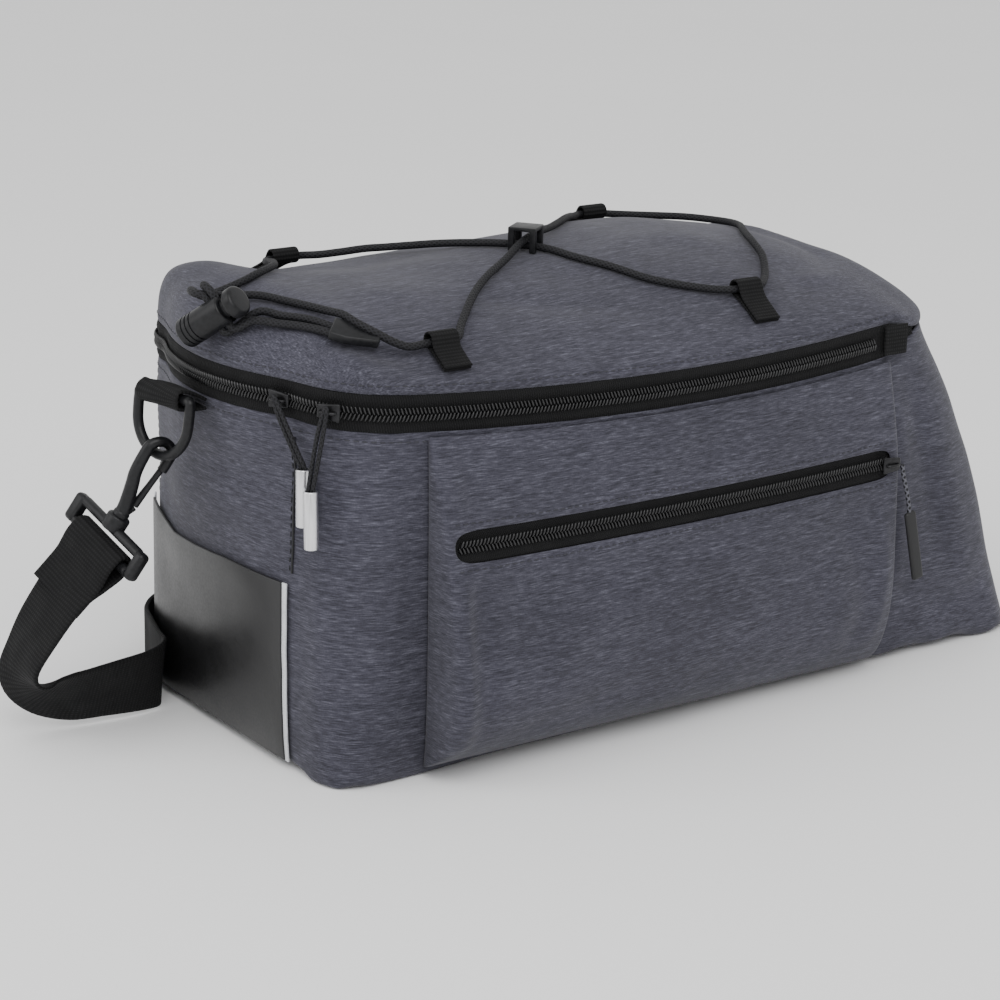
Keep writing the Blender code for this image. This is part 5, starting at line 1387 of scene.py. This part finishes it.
def snap_hook(label, base, up, out, across):
    """A snap hook: its strap frame, collar and hook in one, and the gate that closes it."""
    up = up.normalized()
    out = (out - up * out.dot(up)).normalized()
    across = (across - up * across.dot(up)).normalized()

    def at(along, sideways):
        return base + up * along + out * sideways

    reach = HOOK_REACH + (RING_WIRE + HOOK_ROD) / 2 + HOOK_CLEARANCE
    start = FRAME_HEIGHT / 2 - FRAME_ROD / 2
    path = [at(start, 0), at(0.0130, 0), at(0.0185, -HOOK_HALF * 0.22), at(0.0245, -HOOK_HALF * 0.55),
            at(0.0305, -HOOK_HALF * 0.88), at(reach - HOOK_HALF, -HOOK_HALF)]
    for k in range(1, 7):
        turn = math.radians(180 - 30 * k)
        path.append(at(reach - HOOK_HALF + HOOK_HALF * math.sin(turn), HOOK_HALF * math.cos(turn)))
    path.append(at(HOOK_TIP, HOOK_HALF))
    hook = bent_rod(smooth_line(path, 5), HOOK_ROD, sides=6, taper=(1.55, 1.0))
    place = frame_of(base, up, across)
    collar = turned(place, start - 0.0010, start + 0.0058, 0.0098, 40)
    soften(collar, 0.0010)
    neck = turned(place, start + 0.0050, start + 0.0080, 0.0068, 40)
    soften(neck, 0.0008)
    half, high = (FRAME_WIDTH - FRAME_ROD) / 2, (FRAME_HEIGHT - FRAME_ROD) / 2
    corner = 0.0030
    loop = []
    for i, j in ((1, 1), (-1, 1), (-1, -1), (1, -1)):
        centre = base + across * (i * (half - corner)) + up * (j * (high - corner))
        first = 0 if i * j > 0 else 90
        for step in (0, 30, 60, 90):
            turn = math.radians(abs(first - step))
            loop.append(centre + across * (i * corner * math.cos(turn)) + up * (j * corner * math.sin(turn)))
    strap_frame = bent_rod(loop, FRAME_ROD, True, 6)
    ends = []
    for i in (-1, 1):
        end = block(place, (i * half - 0.0029, -0.0027, -FRAME_HEIGHT / 2 + 0.0005),
                    (i * half + 0.0023 if i > 0 else i * half + 0.0029, 0.0027, FRAME_HEIGHT / 2 - 0.0005))
        soften(end, 0.0018, 4)
        ends.append(end)
    lug = [at(0.0105, 0.0004), at(0.0135, 0.0017), at(GATE_FOOT - 0.0004, GATE_SIDE)]
    lug = bent_rod(lug, LUG_WIDTH, sides=5)
    soften(lug, 0.0007, 3, 60)
    union(hook, collar, neck, lug, strap_frame, *ends)
    finish_piece(hook, label + "_moulded_hook", "moulded_plastic", stands_for=(label + "_snap_hook",),
                 degrees=50)
    pivot = at(GATE_FOOT, GATE_SIDE)
    tip = at(HOOK_TIP - GATE_GAP, HOOK_HALF - GATE_LEAN)
    gate = bent_rod([pivot.lerp(tip, k / 10) for k in range(11)], GATE_ROD, sides=5, taper=(1.3, 1.0))
    soften(gate, 0.0006, 3, 60)
    finish_piece(gate, label + "_moulded_gate", "moulded_plastic", label + "_gate", (label + "_hook_gate",))


def strap_turn(base, up, across, leave, facing):
    """The strap's fold round the lower bar of a hook's frame."""
    bar = base - up * ((FRAME_HEIGHT - FRAME_ROD) / 2)
    down = (leave - across * leave.dot(across)).normalized()
    flat = across.cross(down).normalized()
    flat = -flat if flat.dot(facing) < 0 else flat
    wrap = FRAME_ROD / 2 + LOOP_CLEARANCE + STRAP_THICK / 2
    side = (STRAP_THICK + GAP) / 2
    path = [bar + down * a + flat * (side + (wrap - side) * b) for a, b in STRAP_SEWN]
    for angle in (80, 45, 0, -45, -80):
        turn = math.radians(angle)
        path.append(bar - down * (wrap * math.cos(turn)) + flat * (wrap * math.sin(turn)))
    path += [bar + down * a - flat * (side + (wrap - side) * b) for a, b in reversed(STRAP_SEWN)]
    return path


def ring_point(bar, across, hang, aside):
    """A place on the lower bow of a ring, at a distance from its middle."""
    half = (RING_WIDTH - RING_WIRE) / 2
    drop = RING_HEIGHT - RING_WIRE
    centre = drop * RING_CENTRE
    lower = centre + (drop - centre) * math.sqrt(1 - (aside / half) ** 2)
    return bar + across.normalized() * aside + hang.normalized() * lower


def hook_places():
    """Where the two hooks sit: base, up, out and across, with the ring's bar, across and hang."""
    wire = ring_point(LEFT_BAR, LEFT_ACROSS, LEFT_HANG, LEFT_HOOK_OFFSET)
    up = LEFT_HOOK_UP.normalized()
    across = (LEFT_HOOK_ACROSS - up * LEFT_HOOK_ACROSS.dot(up)).normalized()
    left = (wire - up * HOOK_REACH, up, LEFT_HOOK_OUT, across)
    y, z = RIGHT_ROOT
    skin, normal = end_skin(y, z, 1)
    down = Vector((-normal.z, 0, normal.x)) * -1
    bar = skin + normal * RIGHT_BAR_LIFT
    side = Vector((0, 1, 0))
    right = (ring_point(bar, side, down, 0.0) + down * HOOK_REACH, -down, normal, side)
    return left, right, (bar, side, down, normal, skin)


class RACKBAG_OT_rings(Operator):
    """Make the two D-rings with their folded webbing tabs"""
    bl_idname = "rack_bag.rings"
    bl_label = "Rings and Tabs"

    def execute(self, context):
        skin, normal = end_skin(LEFT_BAR.y, 0.1420, -1)
        root = skin + normal * (GAP + TAB_THICK / 2)
        ring_and_tab("left", LEFT_BAR, LEFT_ACROSS, LEFT_HANG, Vector((-1, 0, 0)),
                     root + UP * TAB_SEWN, root - UP * TAB_SEWN)
        bar, side, down, normal, skin = hook_places()[2]
        root = skin + normal * (GAP + TAB_THICK / 2)
        ring_and_tab("right", bar, side, down, normal, root - down * TAB_SEWN, root + down * TAB_SEWN)
        return {"FINISHED"}


class RACKBAG_OT_hooks(Operator):
    """Make the two snap hooks with their gates"""
    bl_idname = "rack_bag.hooks"
    bl_label = "Snap Hooks"

    def execute(self, context):
        left, right, _ = hook_places()
        snap_hook("left", *left)
        snap_hook("right", *right)
        return {"FINISHED"}


class RACKBAG_OT_strap(Operator):
    """Make the shoulder strap from hook to hook"""
    bl_idname = "rack_bag.strap"
    bl_label = "Shoulder Strap"

    def execute(self, context):
        left, right, (_, _, down, normal, _) = hook_places()
        leave = Vector(STRAP_LEFT[0][:3]) - left[0]
        rows = [(p, left[3]) for p in strap_turn(left[0], left[1], left[3], leave, Vector((-1, -1, 0)))[:-2]]
        for x, y, z, degrees in STRAP_LEFT:
            turn = math.radians(degrees)
            rows.append((Vector((x, y, z)), Vector((0, -math.sin(turn), math.cos(turn)))))
        reach = CORNER_LOW + STRAP_CLEARANCE
        middle = Vector((-BASE_LENGTH / 2 + CORNER_LOW, HALF_LOW - CORNER_LOW, STRAP_HEIGHT))
        for degrees in (170, 150, 130, 112):
            turn = math.radians(degrees)
            rows.append((middle + Vector((math.cos(turn), math.sin(turn), 0)) * reach, UP.copy()))
        for x, beyond in STRAP_FAR:
            rows.append((Vector((x, skin_at(x, STRAP_HEIGHT, 1).y + beyond, STRAP_HEIGHT)), UP.copy()))
        middle = Vector((BASE_LENGTH / 2 - CORNER_BASE, HALF_BASE - CORNER_BASE, STRAP_HEIGHT))
        for degrees in (80, 55, 30, 8):
            turn = math.radians(degrees)
            rows.append((middle + Vector((math.cos(turn), math.sin(turn), 0)) * (reach + GAP * 4), UP.copy()))
        fold = list(reversed(strap_turn(right[0], right[1], right[3], down, normal)))
        target = fold[0]
        skin, normal = end_skin(target.y, target.z, 1)
        lift = (target - skin).dot(normal)
        bend = target.z - STRAP_HEIGHT - 0.002
        for degrees in (90, 72, 54, 36, 18):
            turn = math.radians(degrees)
            skin, normal = end_skin(target.y + bend * (1 - math.cos(turn)),
                                    STRAP_HEIGHT + bend * (1 - math.sin(turn)), 1)
            width = Vector((0, -math.cos(turn), math.sin(turn)))
            width -= normal * width.dot(normal)
            away = STRAP_CLEARANCE + (lift - STRAP_CLEARANCE) * (1 - degrees / 90)
            rows.append((skin + normal * away, width))
        rows += [(p, Vector((0, -1, 0))) for p in [target] + fold[2:]]
        rows = [(p, a.normalized()) for p, a in rows]
        piece = smooth_band("webbing_strap", rows, flat_profile(STRAP_WIDTH, STRAP_THICK, 22), 6)
        finish_piece(piece, "webbing_strap", "webbing", stands_for=("shoulder_strap",), degrees=60)
        return {"FINISHED"}


# Stitches

def stitch_row(name, line, normals, finish, depth=0.35):
    """A row of stitches along a line that lies on the cloth."""
    trim = trim_settings()
    places, ways = even_line(line, trim.stitch_pitch)
    matrices = []
    for place, way in zip(places, ways):
        way = Vector(way)
        out = normals(Vector(place))
        out = (out - way * out.dot(way)).normalized()
        turn = Matrix((way, out.cross(way), out)).transposed().to_4x4()
        matrices.append(Matrix.Translation(Vector(place) + out * (trim.stitch_width * depth)) @ turn)
    thread = coil_tooth(trim.stitch_pitch * 0.72, trim.stitch_width, trim.stitch_width * 0.8)
    piece = repeat(name, thread, matrices)
    return finish_piece(piece, name, finish, degrees=80)


def outward_at(name, middle=(0, 0, 0.08)):
    """The cloth's outward direction nearest to a place."""
    def found(p):
        normal = tree(name).find_nearest(p)[1]
        return normal if normal.dot(p - Vector(middle)) > 0 else -normal
    return found


class RACKBAG_OT_stitches(Operator):
    """Sew the rows of stitches along the zips, pockets and panel"""
    bl_idname = "rack_bag.stitches"
    bl_label = "Stitches"

    def execute(self, context):
        for name, source, lift in (("lid_hem_stitches", "lid_cloth", HEM_STITCH),
                                   ("body_hem_stitches", "body_cloth", -HEM_STITCH)):
            stitch_row(name, round_the_bag(source, lift, 500), outward_at(source), "thread")
        for label, y in END_SEAMS:
            line = [end_skin(y, 0.083 + 0.055 * k / 40, -1, "body_cloth")[0] for k in range(41)]
            stitch_row(label + "_end_seam_stitches", line, outward_at("body_cloth"), "black_thread", 0.5)
            line = [p - Vector((0.0001, 0.0016, 0)) for p in line[::4]]
            seam = tube(label + "_end_seam", smooth_line(line, 3), 0.0009, 8)
            finish_piece(seam, label + "_end_seam", "black_thread")
        for label, side in (("near", -1), ("far", 1)):
            source = label + "_pocket_cloth"
            for part, off in (("upper", POCKET_STITCH), ("lower", -POCKET_STITCH)):
                line = [side_point(source, x, POCKET_ZIP_Z + off, side)
                        for x in (-0.143 + 0.230 * k / 90 for k in range(91))]
                stitch_row(label + "_pocket_" + part + "_stitches", [p for p in line if p is not None],
                           outward_at(source), "thread")
        return {"FINISHED"}


class RACKBAG_OT_stage(Operator):
    """Set the floor, the light and the camera"""
    bl_idname = "rack_bag.stage"
    bl_label = "Stage"

    def execute(self, context):
        settings = context.scene.rack_bag_stage
        select_none()
        bpy.ops.mesh.primitive_plane_add(size=FLOOR_SIZE, location=(0, 0, -FLOOR_GAP))
        floor = bpy.context.object
        settle(floor)
        floor.name = "floor"
        made, tree_, shader = new_finish("pale_floor")
        tone = grain(tree_, (3, 3, 3), 1.0, 2.0)
        base = tuple(settings.floor_colour)
        tree_.links.new(ramp_of(tree_, tone, ((0.3, tuple(c * 0.985 for c in base)), (0.7, base))),
                        shader.inputs["Base Color"])
        shader.inputs["Roughness"].default_value = 0.9
        floor.data.materials.append(made)
        world = bpy.data.worlds.new("studio")
        world.use_nodes = True
        world.node_tree.nodes["Background"].inputs["Color"].default_value = (1, 1, 1, 1)
        world.node_tree.nodes["Background"].inputs["Strength"].default_value = settings.sky
        context.scene.world = world
        for (name, place, aim, size), power in zip(LAMPS, (settings.key, settings.fill)):
            bpy.ops.object.light_add(type="AREA", location=place)
            lamp = bpy.context.object
            lamp.name = name
            lamp.data.size = size
            lamp.data.energy = power
            lamp.rotation_mode = "QUATERNION"
            lamp.rotation_quaternion = (Vector(aim) - Vector(place)).to_track_quat("-Z", "Y")
        camera_data = bpy.data.cameras.new("photo_camera")
        camera_data.sensor_width = SENSOR
        camera_data.lens = LENS
        camera_data.clip_start = 0.05
        camera_data.clip_end = 50
        camera = bpy.data.objects.new("photo_camera", camera_data)
        context.scene.collection.objects.link(camera)
        look = LOOK.normalized()
        right = (RIGHT - look * RIGHT.dot(look)).normalized()
        turn = Matrix((right, right.cross(look), -look)).transposed().to_4x4()
        camera.matrix_world = Matrix.Translation(EYE) @ turn
        context.scene.camera = camera
        return {"FINISHED"}


class RACKBAG_PT_panel(Panel):
    """Lists the bag's pieces and their settings"""
    bl_label = "Rack Bag"
    bl_idname = "RACKBAG_PT_panel"
    bl_space_type = "VIEW_3D"
    bl_region_type = "UI"
    bl_category = "Rack Bag"

    def draw(self, context):
        scene = context.scene
        for settings in (scene.rack_bag_cloth, scene.rack_bag_trim, scene.rack_bag_stage):
            box = self.layout.box()
            for key in settings.__annotations__:
                box.prop(settings, key)
        for operator in OPERATORS:
            self.layout.operator(operator.bl_idname)


OPERATORS = (
    RACKBAG_OT_stage, RACKBAG_OT_body, RACKBAG_OT_lid, RACKBAG_OT_pockets, RACKBAG_OT_zips, RACKBAG_OT_pulls,
    RACKBAG_OT_panel, RACKBAG_OT_loops, RACKBAG_OT_stretch_cord, RACKBAG_OT_cord_lock, RACKBAG_OT_clip,
    RACKBAG_OT_rings, RACKBAG_OT_hooks, RACKBAG_OT_strap, RACKBAG_OT_stitches,
)
SETTINGS = (RackBagCloth, RackBagTrim, RackBagStage)


def register():
    for kind in (*SETTINGS, *OPERATORS, RACKBAG_PT_panel):
        bpy.utils.register_class(kind)
    bpy.types.Scene.rack_bag_cloth = PointerProperty(type=RackBagCloth)
    bpy.types.Scene.rack_bag_trim = PointerProperty(type=RackBagTrim)
    bpy.types.Scene.rack_bag_stage = PointerProperty(type=RackBagStage)


def unregister():
    del bpy.types.Scene.rack_bag_stage
    del bpy.types.Scene.rack_bag_trim
    del bpy.types.Scene.rack_bag_cloth
    for kind in reversed((*SETTINGS, *OPERATORS, RACKBAG_PT_panel)):
        bpy.utils.unregister_class(kind)


def main():
    register()
    make_finishes(cloth_settings(), trim_settings())
    for operator in OPERATORS:
        group, name = operator.bl_idname.split(".")
        getattr(getattr(bpy.ops, group), name)()


if __name__ == "__main__":
    main()
